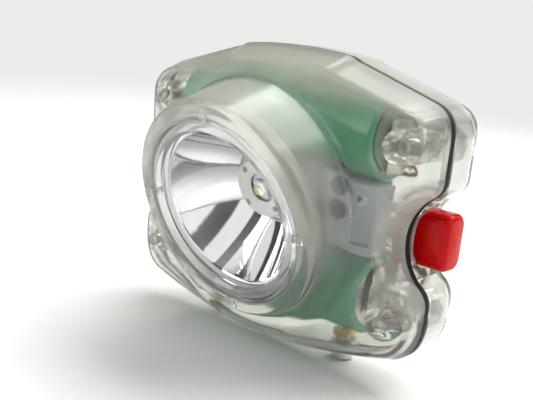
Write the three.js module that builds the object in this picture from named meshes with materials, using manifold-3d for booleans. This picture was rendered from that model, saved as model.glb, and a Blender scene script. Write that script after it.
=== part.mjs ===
// A cordless miner's cap lamp: a clear two-part housing with a tilted lamp barrel, its light engine,
// two cells, electronics, a side push button and a rear helmet hook. Millimetres, +Z up, the lamp faces -Y.
// The origin is on the flat back of the rear housing, level with the middle of the bezel.

import * as THREE from 'three';
import { LoftGeometry } from 'three/addons/geometries/LoftGeometry.js';
import { mergeVertices } from 'three/addons/utils/BufferGeometryUtils.js';
import Module from 'manifold-3d';

const wasm = await Module();
wasm.setup();

// ---------------------------------------------------------------- driving dimensions

const GAP = 0.3; // clearance between touching pieces
const REAR_DEPTH = 12; // seam plane to the flat back

// housing outline in the seam plane
const HALF_WIDTH = 39;
const TOP = 34.4;
const BOTTOM = -30.1;
const CROWN_DROP = 0.8; // fall of the top edge from its middle to the step
const STEP_START = 13.4; // the soft step beside the raised middle of the top edge
const STEP_END = 17.4;
const STEP_DROP = 1.3;
const SCALLOP_RADIUS = 11.4; // finger scallop in each side
const SCALLOP_X = 43.9;
const SCALLOP_Z = 0.2;
const SCALLOP_LIP = 2.4; // straight length that each end of the scallop takes up
const UPPER_CORNER = { start: [34.5, 27.2], control: 25.9, end: 20.5 };
const LOWER_CORNER = { start: -14.5, control: -23.3, end: [32.5, -24.9] };
const COLUMNS = 72; // points round the outline
const WALL = 2.2;
const SEAM_GAP = 0.8; // each shell stops this far from the seam plane, for the gasket
const SHOULDER_DEPTH = 7.5; // seam plane to the shoulder of the front shell
const SIDE_INSET = 2.1; // how far the shoulder stands in from the outline
const TOP_INSET = 3.6;

// barrel and bezel; offsets run from the bezel plane into the lamp, along its axis
const TILT = THREE.MathUtils.degToRad(18.5); // the beam points down by this angle
const BEZEL_FORWARD = 19.6; // seam plane to the middle of the bezel
const RIM_RADIUS = 23.8;
const BORE_RADIUS = 20.6;
const BASE_RADIUS = 27.2; // where the barrel meets the front face
const BASE_FORWARD = 11.2;
const BASE_TILT = THREE.MathUtils.degToRad(5);
const RIM_OFFSET = -0.8;
const LEDGE_OFFSET = 3.3;
const LEDGE_RADIUS = 17.5;

// light engine
const MOUTH_RADIUS = 16.8;
const THROAT_RADIUS = 7;
const MOUTH_OFFSET = 2;
const THROAT_OFFSET = 14.5;
const BOWL_WALL = 0.9;
const BOARD_OFFSET = 13.4;
const BOARD_RADIUS = 6.6;

// cells, measured from the seam plane
const CELL_RADIUS = 8.5;
const CELL_LENGTH = 52;
const CELL_Y = 1.2;
const UPPER_CELL_Z = 18.6;
const LOWER_CELL_Z = -13.1;
const HOLDER_Z = [-4.2, 9.8]; // the blocks that fill the space between the cells

// screws and their bosses
const BOSS_RADIUS = 3.4;
const BOSSES = { upper: { x: 32.5, z: 18.7 }, lower: { x: 32.8, z: -15.9 } };
const SCREW_RADIUS = 1.3;
const SCREW_TIP_Y = -6.2;

// push button and switch
const BUTTON_Y = 5.6;
const BUTTON_Z = SCALLOP_Z;
const BUTTON_WIDTH = 6.4; // along Y
const BUTTON_HEIGHT = 11.6; // along Z
const BUTTON_FACE_X = 39.9;
const FLANGE_X = 29.3;
const SEAL_X = 29.6;
const SWITCH_BOARD_X = 21.8;
const SEAT_HALF_HEIGHT = 8.6; // of the thick wall round the button

// rear hook, measured from the flat back
const HOOK_WIDTH = 18;
const HOOK_THICKNESS = 1.2;
const HOOK_BEND_RADIUS = 1.7;
const HOOK_TOP_Z = 14;
const HOOK_FOOT_Z = 4.2;
const HOOK_TIP_Z = -13;
const HOOK_SCREW_X = 5.4;
const HOOK_SCREW_Z = 9.2;

// charging studs
const STUD_X = 17.5;
const STUD_Y = 4.5;
const STUD_SEAT_Z = -28;

// ---------------------------------------------------------------- finishes

const FINISHES = {
  clear: { color: 0xdfe4de, roughness: 0.15, metalness: 0 },
  black_rubber: { color: 0x161616, roughness: 0.8, metalness: 0 },
  chrome: { color: 0xe6e8ea, roughness: 0.05, metalness: 1 },
  white_plastic: { color: 0xf0efe8, roughness: 0.5, metalness: 0 },
  phosphor: { color: 0xf2d24a, roughness: 0.4, metalness: 0 },
  board_green: { color: 0x2f6b45, roughness: 0.5, metalness: 0 },
  aluminium: { color: 0xb8bcc0, roughness: 0.4, metalness: 1 },
  steel: { color: 0xc4c6c8, roughness: 0.3, metalness: 1 },
  cell_green: { color: 0x4f9a6b, roughness: 0.35, metalness: 0 },
  grey_plastic: { color: 0xa9b0b4, roughness: 0.55, metalness: 0 },
  black_plastic: { color: 0x202022, roughness: 0.5, metalness: 0 },
  nickel: { color: 0xc9c4b6, roughness: 0.3, metalness: 1 },
  brass: { color: 0xc8a24a, roughness: 0.35, metalness: 1 },
  red_plastic: { color: 0xd4100c, roughness: 0.25, metalness: 0 },
  red_wire: { color: 0xc02018, roughness: 0.5, metalness: 0 },
  black_wire: { color: 0x141414, roughness: 0.5, metalness: 0 },
};

// ---------------------------------------------------------------- scene graph

const lamp = new THREE.Group();
const body = new THREE.Group(); // everything measured from the seam plane
body.position.y = -REAR_DEPTH;
lamp.add(body);

const optics = new THREE.Group(); // local +Y runs into the lamp along the beam's axis
optics.position.y = -BEZEL_FORWARD;
optics.rotation.x = TILT;
body.add(optics);

function addPiece(name, geometry, finish, group = body) {
  geometry.computeVertexNormals();
  const mesh = new THREE.Mesh(geometry, new THREE.MeshStandardMaterial(FINISHES[finish]));
  mesh.name = name;
  group.add(mesh);
}

// ---------------------------------------------------------------- solids

function toSolid(geometry) {
  const bare = new THREE.BufferGeometry();
  bare.setAttribute('position', geometry.attributes.position);
  bare.setIndex(geometry.index);
  const merged = mergeVertices(bare, 1e-4);
  const index = merged.index.array;
  const triangles = [];
  for (let i = 0; i < index.length; i += 3) {
    const [a, b, c] = [index[i], index[i + 1], index[i + 2]];
    if (a !== b && b !== c && c !== a) triangles.push(a, b, c);
  }
  const vertProperties = new Float32Array(merged.attributes.position.array);
  const solidFrom = (triVerts) => new wasm.Manifold(new wasm.Mesh({ numProp: 3, vertProperties, triVerts }));
  const solid = solidFrom(new Uint32Array(triangles));
  return solid.volume() > 0 ? solid : solidFrom(new Uint32Array(triangles).reverse());
}

function toGeometry(solid) {
  const mesh = solid.getMesh();
  const geometry = new THREE.BufferGeometry();
  geometry.setAttribute('position', new THREE.BufferAttribute(mesh.vertProperties, 3));
  geometry.setIndex(new THREE.BufferAttribute(mesh.triVerts, 1));
  return geometry;
}

// the pieces in extras are joined to first, and those in cuts are then taken away
function combine(first, extras = [], cuts = []) {
  let solid = toSolid(first);
  for (const extra of extras) solid = solid.add(toSolid(extra));
  for (const cut of cuts) solid = solid.subtract(toSolid(cut));
  return toGeometry(solid);
}

function box([x0, x1], [y0, y1], [z0, z1]) {
  const geometry = new THREE.BoxGeometry(x1 - x0, y1 - y0, z1 - z0);
  return geometry.translate((x0 + x1) / 2, (y0 + y1) / 2, (z0 + z1) / 2);
}

// a cylinder along one axis, from start to end, through the point at
function rod(axis, radius, start, end, at, sides = 20) {
  const geometry = new THREE.CylinderGeometry(radius, radius, Math.abs(end - start), sides);
  if (axis === 'x') geometry.rotateZ(-Math.PI / 2);
  if (axis === 'z') geometry.rotateX(Math.PI / 2);
  const middle = { x: at.x ?? 0, y: at.y ?? 0, z: at.z ?? 0 };
  middle[axis] = (start + end) / 2;
  return geometry.translate(middle.x, middle.y, middle.z);
}

// a ring or disc about +Y; the profile's points are [radius, y]
function turned(profile, sides = 48) {
  const points = profile.map(([radius, y]) => new THREE.Vector2(radius, y));
  return new THREE.LatheGeometry(points, sides);
}

function closedProfile(profile) {
  return [...profile, profile[0]];
}

// a plain ring about +Y
function turnedBand([inner, outer], [start, end], sides = 24) {
  return turned(closedProfile([[inner, start], [outer, start], [outer, end], [inner, end]]), sides);
}

function roundedRectangle(width, height, radius, [cx, cy] = [0, 0]) {
  const [x, y] = [width / 2 - radius, height / 2 - radius];
  const shape = new THREE.Shape();
  shape.absarc(cx + x, cy + y, radius, 0, Math.PI / 2);
  shape.absarc(cx - x, cy + y, radius, Math.PI / 2, Math.PI);
  shape.absarc(cx - x, cy - y, radius, Math.PI, Math.PI * 1.5);
  shape.absarc(cx + x, cy - y, radius, Math.PI * 1.5, Math.PI * 2);
  shape.closePath();
  return shape;
}

// an extrusion along +X or -Y; the shape's own axes are (Y, Z) or (X, Z)
const X = new THREE.Vector3(1, 0, 0);
const Y = new THREE.Vector3(0, 1, 0);
const Z = new THREE.Vector3(0, 0, 1);
const SWEEP_BASES = {
  x: new THREE.Matrix4().makeBasis(Y, Z, X),
  y: new THREE.Matrix4().makeBasis(X, Z, Y.clone().negate()),
};

function extruded(axis, shape, start, end, { bevel = 0, curveSegments = 5 } = {}) {
  const length = Math.abs(end - start);
  const geometry = new THREE.ExtrudeGeometry(shape, {
    depth: length - 2 * bevel,
    bevelEnabled: bevel > 0,
    bevelSize: bevel,
    bevelThickness: bevel,
    bevelOffset: -bevel,
    bevelSegments: 2,
    curveSegments,
  });
  geometry.translate(0, 0, bevel).applyMatrix4(SWEEP_BASES[axis]);
  const low = Math.min(start, end);
  return axis === 'x' ? geometry.translate(low, 0, 0) : geometry.translate(0, low + length, 0);
}

function wire(points, radius, steps = 18) {
  const path = new THREE.CatmullRomCurve3(points.map((p) => new THREE.Vector3(...p)), false, 'centripetal');
  const section = new THREE.Shape().absarc(0, 0, radius, 0, Math.PI * 2);
  return combine(new THREE.ExtrudeGeometry(section, { steps, extrudePath: path, curveSegments: 3 }));
}

// ---------------------------------------------------------------- housing outline

// right half of the outline, from the middle of the top to the middle of the bottom, in X and Z
function halfOutline() {
  const path = new THREE.Path();
  const crownZ = TOP - CROWN_DROP;
  const stepMiddle = [(STEP_START + STEP_END) / 2, crownZ - STEP_DROP / 2];
  const sideReach = Math.sqrt(SCALLOP_RADIUS ** 2 - (SCALLOP_X - HALF_WIDTH) ** 2);
  const lip = Math.asin(sideReach / SCALLOP_RADIUS) - 0.24;
  const scallopPoint = (angle) => [
    SCALLOP_X - SCALLOP_RADIUS * Math.cos(angle),
    SCALLOP_Z + SCALLOP_RADIUS * Math.sin(angle),
  ];
  path.moveTo(0, TOP);
  path.quadraticCurveTo(STEP_START / 2, TOP, STEP_START, crownZ);
  path.quadraticCurveTo(STEP_START + 1.1, crownZ - 0.15, ...stepMiddle);
  path.quadraticCurveTo(STEP_END - 1, crownZ - STEP_DROP + 0.15, STEP_END, crownZ - STEP_DROP);
  path.lineTo(...UPPER_CORNER.start);
  path.quadraticCurveTo(HALF_WIDTH, UPPER_CORNER.control, HALF_WIDTH, UPPER_CORNER.end);
  path.lineTo(HALF_WIDTH, SCALLOP_Z + sideReach + SCALLOP_LIP);
  path.quadraticCurveTo(HALF_WIDTH, SCALLOP_Z + sideReach, ...scallopPoint(lip));
  path.absarc(SCALLOP_X, SCALLOP_Z, SCALLOP_RADIUS, Math.PI - lip, Math.PI + lip, false);
  path.quadraticCurveTo(HALF_WIDTH, SCALLOP_Z - sideReach, HALF_WIDTH, SCALLOP_Z - sideReach - SCALLOP_LIP);
  path.lineTo(HALF_WIDTH, LOWER_CORNER.start);
  path.quadraticCurveTo(HALF_WIDTH, LOWER_CORNER.control, ...LOWER_CORNER.end);
  path.quadraticCurveTo(16, BOTTOM + 0.4, 0, BOTTOM);
  return path.getSpacedPoints(COLUMNS / 2);
}

// each column holds an outline point in polar form, and how far a radial step outruns a step along the normal
function outlineColumns() {
  const half = halfOutline();
  const mirrored = half.slice(1, -1).reverse();
  const points = [...half, ...mirrored.map((p) => new THREE.Vector2(-p.x, p.y))];
  return points.map((point, i) => {
    const before = points[(i + COLUMNS - 1) % COLUMNS];
    const after = points[(i + 1) % COLUMNS];
    const along = after.clone().sub(before).normalize();
    const facing = Math.abs(along.cross(point.clone().normalize()));
    const slant = 1 / Math.max(facing, 0.62);
    return { radius: point.length(), angle: Math.atan2(point.y, point.x), z: point.y, slant };
  });
}

const columns = outlineColumns();

function polarPoint(column, radius, y) {
  return new THREE.Vector3(radius * Math.cos(column.angle), y, radius * Math.sin(column.angle));
}

// a point on a circle about the beam's axis
function bezelPoint(column, radius, offset) {
  const point = new THREE.Vector3(radius * Math.cos(column.angle), offset, radius * Math.sin(column.angle));
  return point.applyAxisAngle(X, TILT).addScaledVector(Y, -BEZEL_FORWARD);
}

function middlePoint(y) {
  return new THREE.Vector3(0, y, 0);
}

function bezelMiddle(offset) {
  return bezelPoint({ angle: 0 }, 0, offset);
}

// points on a quadratic arc that rounds off the corner between two points
function roundedCorner(before, corner, after, reach, count) {
  const start = corner.clone().lerp(before, Math.min(1, reach / corner.distanceTo(before)));
  const end = corner.clone().lerp(after, Math.min(1, reach / corner.distanceTo(after)));
  return new THREE.QuadraticBezierCurve3(start, corner, end).getPoints(count);
}

// a surface through one profile per column
function loftProfiles(profiles) {
  const sections = profiles[0].map((_, row) => profiles.map((profile) => profile[row]));
  return new LoftGeometry(sections);
}

// a closed solid whose profiles all start at one middle point and end at another
function loftSolid(profileOf, startPole, endPole) {
  return toSolid(loftProfiles(columns.map((column) => [startPole, ...profileOf(column), endPole])));
}

// the shoulder's slope is broad on top and smaller at the sides and below
function shoulderInset(column) {
  return THREE.MathUtils.lerp(SIDE_INSET, TOP_INSET, THREE.MathUtils.smoothstep(column.z, 21, 31));
}

function shoulderY(column) {
  return -SHOULDER_DEPTH - 0.02 * column.z;
}

function baseY(radius, column) {
  return -BASE_FORWARD - Math.tan(BASE_TILT) * radius * Math.sin(column.angle);
}

function frontOuterProfile(column) {
  const seam = polarPoint(column, column.radius, -SEAM_GAP);
  const shoulder = polarPoint(column, column.radius - shoulderInset(column), shoulderY(column));
  const base = polarPoint(column, BASE_RADIUS, baseY(BASE_RADIUS, column));
  const rim = bezelPoint(column, RIM_RADIUS, 0.9);
  return [
    seam,
    ...roundedCorner(seam, shoulder, base, 2.4, 3),
    ...roundedCorner(shoulder, base, rim, 1, 2),
    rim,
    bezelPoint(column, RIM_RADIUS - 0.25, -0.2),
    bezelPoint(column, RIM_RADIUS - 1, RIM_OFFSET),
  ];
}

function frontInnerProfile(column) {
  const radius = column.radius - WALL * column.slant;
  const seam = polarPoint(column, radius, 1);
  const shoulder = polarPoint(column, radius - shoulderInset(column) + 1.3, shoulderY(column) + 1.6);
  const base = polarPoint(column, BASE_RADIUS - WALL, baseY(BASE_RADIUS, column) + 1.8);
  return [seam, shoulder, base, bezelPoint(column, 21.2, LEDGE_OFFSET + 1.6)];
}

function rearOuterProfile(column) {
  const seam = polarPoint(column, column.radius, SEAM_GAP);
  const corner = polarPoint(column, column.radius - 0.2, REAR_DEPTH);
  const back = polarPoint(column, column.radius / 2, REAR_DEPTH);
  return [seam, ...roundedCorner(seam, corner, back, 4.4, 4)];
}

function rearInnerProfile(column) {
  const radius = column.radius - WALL * column.slant;
  return [
    polarPoint(column, radius, -1),
    polarPoint(column, radius, REAR_DEPTH - 3),
    polarPoint(column, radius - 1, REAR_DEPTH - 2),
  ];
}

function gasketProfile(column) {
  const outer = column.radius - 0.2;
  const inner = column.radius - (WALL - 0.2) * column.slant;
  return [[outer, -0.5], [outer, 0.5], [inner, 0.5], [inner, -0.5], [outer, -0.5]].map(([radius, y]) =>
    polarPoint(column, radius, y)
  );
}

// every place of a screw boss: left and right, upper and lower
const bossPlaces = Object.values(BOSSES).flatMap(({ x, z }) => [{ x, z }, { x: -x, z }]);
const sides = [{ name: 'left', sign: -1 }, { name: 'right', sign: 1 }];
const hookScrewPlaces = sides.map(({ sign }) => ({ x: sign * HOOK_SCREW_X, z: HOOK_SCREW_Z }));
const studPlaces = sides.map(({ sign }) => ({ x: sign * STUD_X, y: STUD_Y }));

function addFrontHousing() {
  const outer = loftSolid(frontOuterProfile, middlePoint(-SEAM_GAP), bezelMiddle(RIM_OFFSET));
  let shell = outer.subtract(loftSolid(frontInnerProfile, middlePoint(1), bezelMiddle(LEDGE_OFFSET + 1.6)));
  for (const place of bossPlaces) {
    const boss = toSolid(rod('y', BOSS_RADIUS, -20, -SEAM_GAP, place, 16)).intersect(outer);
    shell = shell.add(boss).subtract(toSolid(rod('y', SCREW_RADIUS + GAP, SCREW_TIP_Y - GAP, 1, place, 12)));
  }
  const bores = [
    turned([[0, -3], [BORE_RADIUS, -3], [BORE_RADIUS, LEDGE_OFFSET], [0, LEDGE_OFFSET]]),
    turned([[0, 1], [LEDGE_RADIUS, 1], [LEDGE_RADIUS, 7], [0, 7]]),
  ];
  for (const bore of bores) {
    bore.rotateX(TILT).translate(0, -BEZEL_FORWARD, 0);
    shell = shell.subtract(toSolid(bore));
  }
  const lugs = lugPlaces(2.4, [RIM_RADIUS - 4.4, RIM_RADIUS - 1.3], [-2, -0.35]);
  for (const lug of lugs) shell = shell.subtract(toSolid(lug.rotateX(TILT).translate(0, -BEZEL_FORWARD, 0)));
  addPiece('front_housing', toGeometry(shell), 'clear');
}

// four small blocks at the quarters of the bezel
function lugPlaces(width, [inner, outer], [front, back]) {
  return [0, 1, 2, 3].map((quarter) =>
    box([inner, outer], [front, back], [-width / 2, width / 2]).rotateY((quarter * Math.PI) / 2)
  );
}

function addRearHousing() {
  // the flat back's facets meet above the origin and below the hook's foot, clear of both
  const backMiddle = new THREE.Vector3(0, REAR_DEPTH, HOOK_FOOT_Z - 1.2);
  const outer = loftSolid(rearOuterProfile, middlePoint(SEAM_GAP), backMiddle);
  const seatZ = [BUTTON_Z - SEAT_HALF_HEIGHT, BUTTON_Z + SEAT_HALF_HEIGHT];
  const buttonSeat = box([SEAL_X + 0.8, HALF_WIDTH], [SEAM_GAP, REAR_DEPTH - 1], seatZ);
  let shell = outer.subtract(loftSolid(rearInnerProfile, middlePoint(-1), middlePoint(REAR_DEPTH - 2)));
  const extras = [
    buttonSeat,
    ...bossPlaces.map((place) => rod('y', BOSS_RADIUS, SEAM_GAP, REAR_DEPTH - 0.5, place, 16)),
    ...hookScrewPlaces.map((place) => rod('y', 3.2, 6.9, REAR_DEPTH - 0.5, place, 16)),
  ];
  for (const extra of extras) shell = shell.add(toSolid(extra).intersect(outer));
  const holeSize = [BUTTON_WIDTH + 2 * GAP, BUTTON_HEIGHT + 2 * GAP];
  const buttonHole = roundedRectangle(...holeSize, 2.2, [BUTTON_Y, BUTTON_Z]);
  const cuts = [
    extruded('x', buttonHole, 25, HALF_WIDTH + 5),
    ...bossPlaces.map((place) => rod('y', SCREW_RADIUS + GAP, -1, REAR_DEPTH + 1, place, 12)),
    ...bossPlaces.map((place) => rod('y', 2.7, REAR_DEPTH - 3, REAR_DEPTH + 1, place, 16)),
    ...hookScrewPlaces.map((place) => rod('y', 1.3, 5, REAR_DEPTH + 1, place, 12)),
    ...hookScrewPlaces.map((place) => rod('y', 2.3, 5, REAR_DEPTH - 2, place, 16)),
    ...studPlaces.map((place) => rod('z', 1.5, BOTTOM - 3, BOTTOM + 8, place, 12)),
    ...studPlaces.map((place) => rod('z', 3, BOTTOM - 3, STUD_SEAT_Z, place, 16)),
  ];
  for (const cut of cuts) shell = shell.subtract(toSolid(cut));
  addPiece('rear_housing', toGeometry(shell), 'clear');
}

function addGasket() {
  addPiece('housing_gasket', combine(loftProfiles(columns.map(gasketProfile))), 'black_rubber');
}

// ---------------------------------------------------------------- window and light engine

function addWindow() {
  const face = [[17.2, -0.2], [17.9, -1.1], [19.9, -1.1], [20.3, -0.7]];
  const skirt = [[20.3, 1.9], [19.4, 1.9], [19.4, 0.1], [17.2, 0.1]];
  const bezel = turned(closedProfile([...face, ...skirt]), 36);
  const lugs = lugPlaces(1.8, [RIM_RADIUS - 4.2, RIM_RADIUS - 1.6], [-1.1, -0.65]);
  addPiece('bezel_ring', combine(bezel, lugs), 'clear', optics);
  addPiece('window', combine(turned([[0, 0.4], [19.1, 0.4], [19.1, 1.7], [0, 1.7]], 36)), 'clear', optics);
  addPiece('window_seal', combine(turnedBand([19.4, 20.3], [2.2, 3], 36)), 'black_rubber', optics);
}

// radius of the parabolic bowl at an offset behind the bezel
function bowlRadius(offset) {
  const share = (THROAT_OFFSET - offset) / (THROAT_OFFSET - MOUTH_OFFSET);
  return Math.sqrt(THROAT_RADIUS ** 2 + share * (MOUTH_RADIUS ** 2 - THROAT_RADIUS ** 2));
}

function addReflector() {
  const steps = 5;
  const inside = [];
  const outside = [];
  for (let i = 0; i <= steps; i += 1) {
    const offset = THREE.MathUtils.lerp(THROAT_OFFSET, MOUTH_OFFSET, i / steps);
    inside.push([bowlRadius(offset), offset]);
    if (offset > MOUTH_OFFSET + 1) outside.unshift([bowlRadius(offset) + BOWL_WALL, offset]);
  }
  const flangeBack = MOUTH_OFFSET + 1;
  const flange = [[19.1, MOUTH_OFFSET], [19.1, flangeBack], [bowlRadius(flangeBack) + BOWL_WALL, flangeBack]];
  const bowl = turned(closedProfile([...inside, ...flange, ...outside]), 36);
  addPiece('reflector', combine(bowl), 'chrome', optics);
}

function addLightEngine() {
  const spacerProfile = [[3.2, 12.9], [4.6, 12.3], [6.2, 12.3], [6.6, 12.6], [6.6, 13.1], [3.2, 13.1]];
  const spacer = turned(closedProfile(spacerProfile), 24);
  const spacerNotches = [0, 1, 2, 3].map((quarter) => {
    const angle = Math.PI / 4 + (quarter * Math.PI) / 2;
    return rod('y', 0.7, 11, 14, { x: 5.4 * Math.cos(angle), z: 5.4 * Math.sin(angle) }, 8);
  });
  addPiece('led_spacer_ring', combine(spacer, [], spacerNotches), 'white_plastic', optics);

  const base = box([-1.75, 1.75], [12.4, BOARD_OFFSET - GAP], [-1.75, 1.75]);
  const domeArc = [0, 1, 2, 3, 4].map((step) => {
    const angle = (step * Math.PI) / 8;
    return [1.35 * Math.sin(angle), 12.4 - 1.35 * Math.cos(angle)];
  });
  addPiece('main_led', combine(base, [turned([...domeArc, [0, 12.6]], 16)]), 'phosphor', optics);

  const boardScrews = sides.map(({ sign }) => ({ x: sign * 4.4, z: 0 }));
  const leadHoles = sides.map(({ sign }) => ({ x: sign * 2.8, z: -4.9 }));
  const boardHoles = boardScrews.map((at) => rod('y', 1.1, 10, 17, at, 12));
  const board = turned([[0, BOARD_OFFSET], [BOARD_RADIUS, BOARD_OFFSET], [BOARD_RADIUS, 15], [0, 15]], 36);
  addPiece('led_board', combine(board, [], boardHoles), 'aluminium', optics);

  const sink = turned([[0, 15.3], [6.5, 15.3], [6.5, 18.2], [0, 18.2]], 36);
  const block = box([-10, 10], [16.2, 22], [-3, 3]);
  const fins = [-7, -3.5, 0, 3.5, 7].map((x) => box([x - 0.9, x + 0.9], [19.4, 23], [-4, 4]));
  const sinkHoles = [
    ...boardScrews.map((at) => rod('y', 1.1, 14, 18.6, at, 12)),
    ...leadHoles.map((at) => rod('y', 0.95, 14, 19, at, 12)),
  ];
  addPiece('heat_sink', combine(sink, [block], [...fins, ...sinkHoles]), 'aluminium', optics);

  sides.forEach(({ name, sign }, i) => {
    const at = boardScrews[i];
    addPiece(`led_board_screw_${name}`, combine(rod('y', 0.8, BOARD_OFFSET, 18, at, 12)), 'steel', optics);
    const x = sign * 2.8;
    const lead = [[x, -0.6, 1.1], [x, 2.6, -0.9], [x, 5.4, 0.2], [x, 6.9, 1.4]];
    addPiece(`led_lead_${name}`, wire(lead, 0.55, 14), sign < 0 ? 'red_wire' : 'black_wire');
  });
}

// ---------------------------------------------------------------- cells

function addCell(name, z, positiveSign) {
  const half = CELL_LENGTH / 2;
  const at = { y: CELL_Y, z };
  const can = rod('x', CELL_RADIUS - 0.55, -half + 0.5, half - 1.1, at, 24);
  const cap = rod('x', 2.8, half - 1.5, half - 0.1, at, 16);
  const grooveStart = half - 4.6;
  const grooveEnd = grooveStart + 0.8;
  const groove = turnedBand([7.4, 9], [grooveStart, grooveEnd]);
  groove.rotateZ(-Math.PI / 2).translate(0, CELL_Y, z);
  const flip = positiveSign < 0 ? Math.PI : 0;
  const turn = (geometry) => geometry.translate(0, -CELL_Y, -z).rotateZ(flip).translate(0, CELL_Y, z);
  addPiece(`${name}_cell`, turn(combine(can, [cap], [groove])), 'steel');

  const sleeveOutside = [[CELL_RADIUS, -half], [CELL_RADIUS, half - 0.6], [7, half - 0.6], [7, half - 0.8]];
  const film = CELL_RADIUS - 0.25;
  const sleeveInside = [[film, half - 0.8], [film, -half + 0.2], [6.6, -half + 0.2], [6.6, -half]];
  const sleeve = turned(closedProfile([...sleeveOutside, ...sleeveInside]), 24);
  sleeve.rotateZ(-Math.PI / 2).translate(0, CELL_Y, z);
  addPiece(`${name}_cell_wrap`, turn(combine(sleeve)), 'cell_green');

  const ring = turnedBand([3.3, 6.7], [half - 0.8, half - 0.4]);
  ring.rotateZ(-Math.PI / 2).translate(0, CELL_Y, z);
  addPiece(`${name}_cell_insulator`, turn(combine(ring)), 'white_plastic');
}

function addCellLinks() {
  const stripY = [CELL_Y - 3, CELL_Y + 3];
  const outside = CELL_LENGTH / 2 + GAP;
  const linkEnds = [LOWER_CELL_Z - 4, UPPER_CELL_Z + 4];
  addPiece('cell_link_strip', combine(box([-outside - 0.3, -outside], stripY, linkEnds)), 'nickel');
  const tabs = [
    { name: 'positive_tab', z: [UPPER_CELL_Z - 6.8, UPPER_CELL_Z + 4] },
    { name: 'negative_tab', z: [LOWER_CELL_Z - 4, LOWER_CELL_Z + 5.4] },
  ];
  for (const { name, z } of tabs) addPiece(name, combine(box([outside, outside + 0.3], stripY, z)), 'nickel');
}

// ---------------------------------------------------------------- blocks, boards and wires

function addHolders() {
  const block = box([13.5, 20.2], [-5.6, 6.2], HOLDER_Z);
  const frontWall = box([13.5, 27.6], [-5.6, 0.4], HOLDER_Z);
  const posts = [
    rod('y', 1.5, -6.4, -5, { x: 24.2, z: 7 }, 16),
    rod('y', 1.2, -6.4, -5, { x: 18.4, z: -2 }, 16),
  ];
  const pockets = [
    rod('y', 0.7, -7, -4.6, { x: 24.2, z: 7 }, 12),
    box([20.6, 26.4], [-7, -4.8], [-2.4, 4.2]),
  ];
  addPiece('switch_holder', combine(block, [frontWall, ...posts], pockets), 'grey_plastic');
  const spacer = box([-24, -13.5], [-5.6, 3.6], HOLDER_Z);
  const spacerSlot = box([-21, -16.5], [-7, 1], [-1, 6]);
  addPiece('cell_spacer', combine(spacer, [], [spacerSlot]), 'grey_plastic');
}

function addControlBoard() {
  addPiece('control_board', combine(box([-22, 15], [7.2, 8.4], [-6.6, 4.8])), 'board_green');
  addPiece('driver_chip', combine(box([-12.5, -7.5], [5.6, 6.9], [-3.4, 0.6])), 'black_plastic');
  addPiece('charge_chip', combine(box([6.6, 10.6], [5.7, 6.9], [-3.2, 0.8])), 'black_plastic');
  const coil = rod('y', 2.6, 4.2, 6.9, { x: -17.6, z: -1.4 }, 20);
  addPiece('inductor', combine(coil, [], [rod('y', 1, 3, 5.4, { x: -17.6, z: -1.4 }, 12)]), 'black_plastic');
}

function addWires() {
  const lead = {
    cell_lead_positive: { finish: 'red_wire', points: [[26.7, 4.8, 13.8], [26.9, 8.2, 11.6], [22.6, 9, 10.6],
      [17.4, 8.6, 8.4], [13.6, 7.8, 5.9]] },
    cell_lead_negative: { finish: 'black_wire', points: [[26.9, 4.8, -9.4], [26.6, 8.2, -8], [25.2, 9, -7],
      [22.6, 9, -5.2], [18.4, 8.6, -3.8], [15.9, 7.8, -2.6]] },
  };
  for (const [name, { finish, points }] of Object.entries(lead)) addPiece(name, wire(points, 0.55), finish);
  for (const { name, sign } of sides) {
    const boardEdge = sign < 0 ? [[-26.9, 8.2, -9], [-26, 8.4, -6], [-22.9, 7.8, -4]]
      : [[27.2, 8.9, -9.9], [23.6, 9.2, -7.9], [17.6, 8.8, -6.6], [15.9, 7.8, -5]];
    const route = [[sign * STUD_X, 4.5, -23], [sign * 20, 4.6, -22.7], [sign * 26, 5.2, -22],
      [sign * 27.7, 5.6, -17.4], ...boardEdge];
    addPiece(`charge_lead_${name}`, wire(route, 0.5, 26), sign < 0 ? 'black_wire' : 'red_wire');
  }
}

// ---------------------------------------------------------------- push button and switch

function addButton() {
  const at = [BUTTON_Y, BUTTON_Z];
  const capShape = roundedRectangle(BUTTON_WIDTH, BUTTON_HEIGHT, 2, at);
  const flangeShape = roundedRectangle(BUTTON_WIDTH + 0.8, BUTTON_HEIGHT + 3, 2, at);
  const cap = extruded('x', capShape, FLANGE_X - 1, BUTTON_FACE_X, { bevel: 1 });
  const flange = extruded('x', flangeShape, FLANGE_X - 1.3, FLANGE_X);
  addPiece('push_button', combine(cap, [flange]), 'red_plastic');

  const corners = { curveSegments: 3 };
  const sealEnd = SEAL_X + 0.5;
  const sealShape = roundedRectangle(BUTTON_WIDTH + 1, BUTTON_HEIGHT + 3, 2.2, at);
  const holeShape = roundedRectangle(BUTTON_WIDTH + 0.3, BUTTON_HEIGHT + 0.4, 2.1, at);
  const seal = extruded('x', sealShape, SEAL_X, sealEnd, corners);
  const sealHole = extruded('x', holeShape, SEAL_X - 2, SEAL_X + 2, corners);
  addPiece('button_seal', combine(seal, [], [sealHole]), 'black_rubber');

  const centre = { y: BUTTON_Y, z: BUTTON_Z };
  const board = box([SWITCH_BOARD_X - 1.2, SWITCH_BOARD_X], [0.8, 8.1], [HOLDER_Z[0], HOLDER_Z[1] - 0.1]);
  addPiece('switch_board', combine(board), 'board_green');
  const switchX = SWITCH_BOARD_X + GAP;
  const around = (middle) => [middle - 2.3, middle + 2.3];
  const switchBox = box([switchX, switchX + 3.5], around(centre.y), around(centre.z));
  const switchBore = rod('x', 1.8, switchX + 0.4, switchX + 6, centre);
  addPiece('switch_body', combine(switchBox, [], [switchBore]), 'black_plastic');
  addPiece('switch_plunger', combine(rod('x', 1.4, switchX + 2.2, FLANGE_X - 1.6, centre)), 'white_plastic');
  addSpring(switchX, FLANGE_X - 1.6);
}

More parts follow.
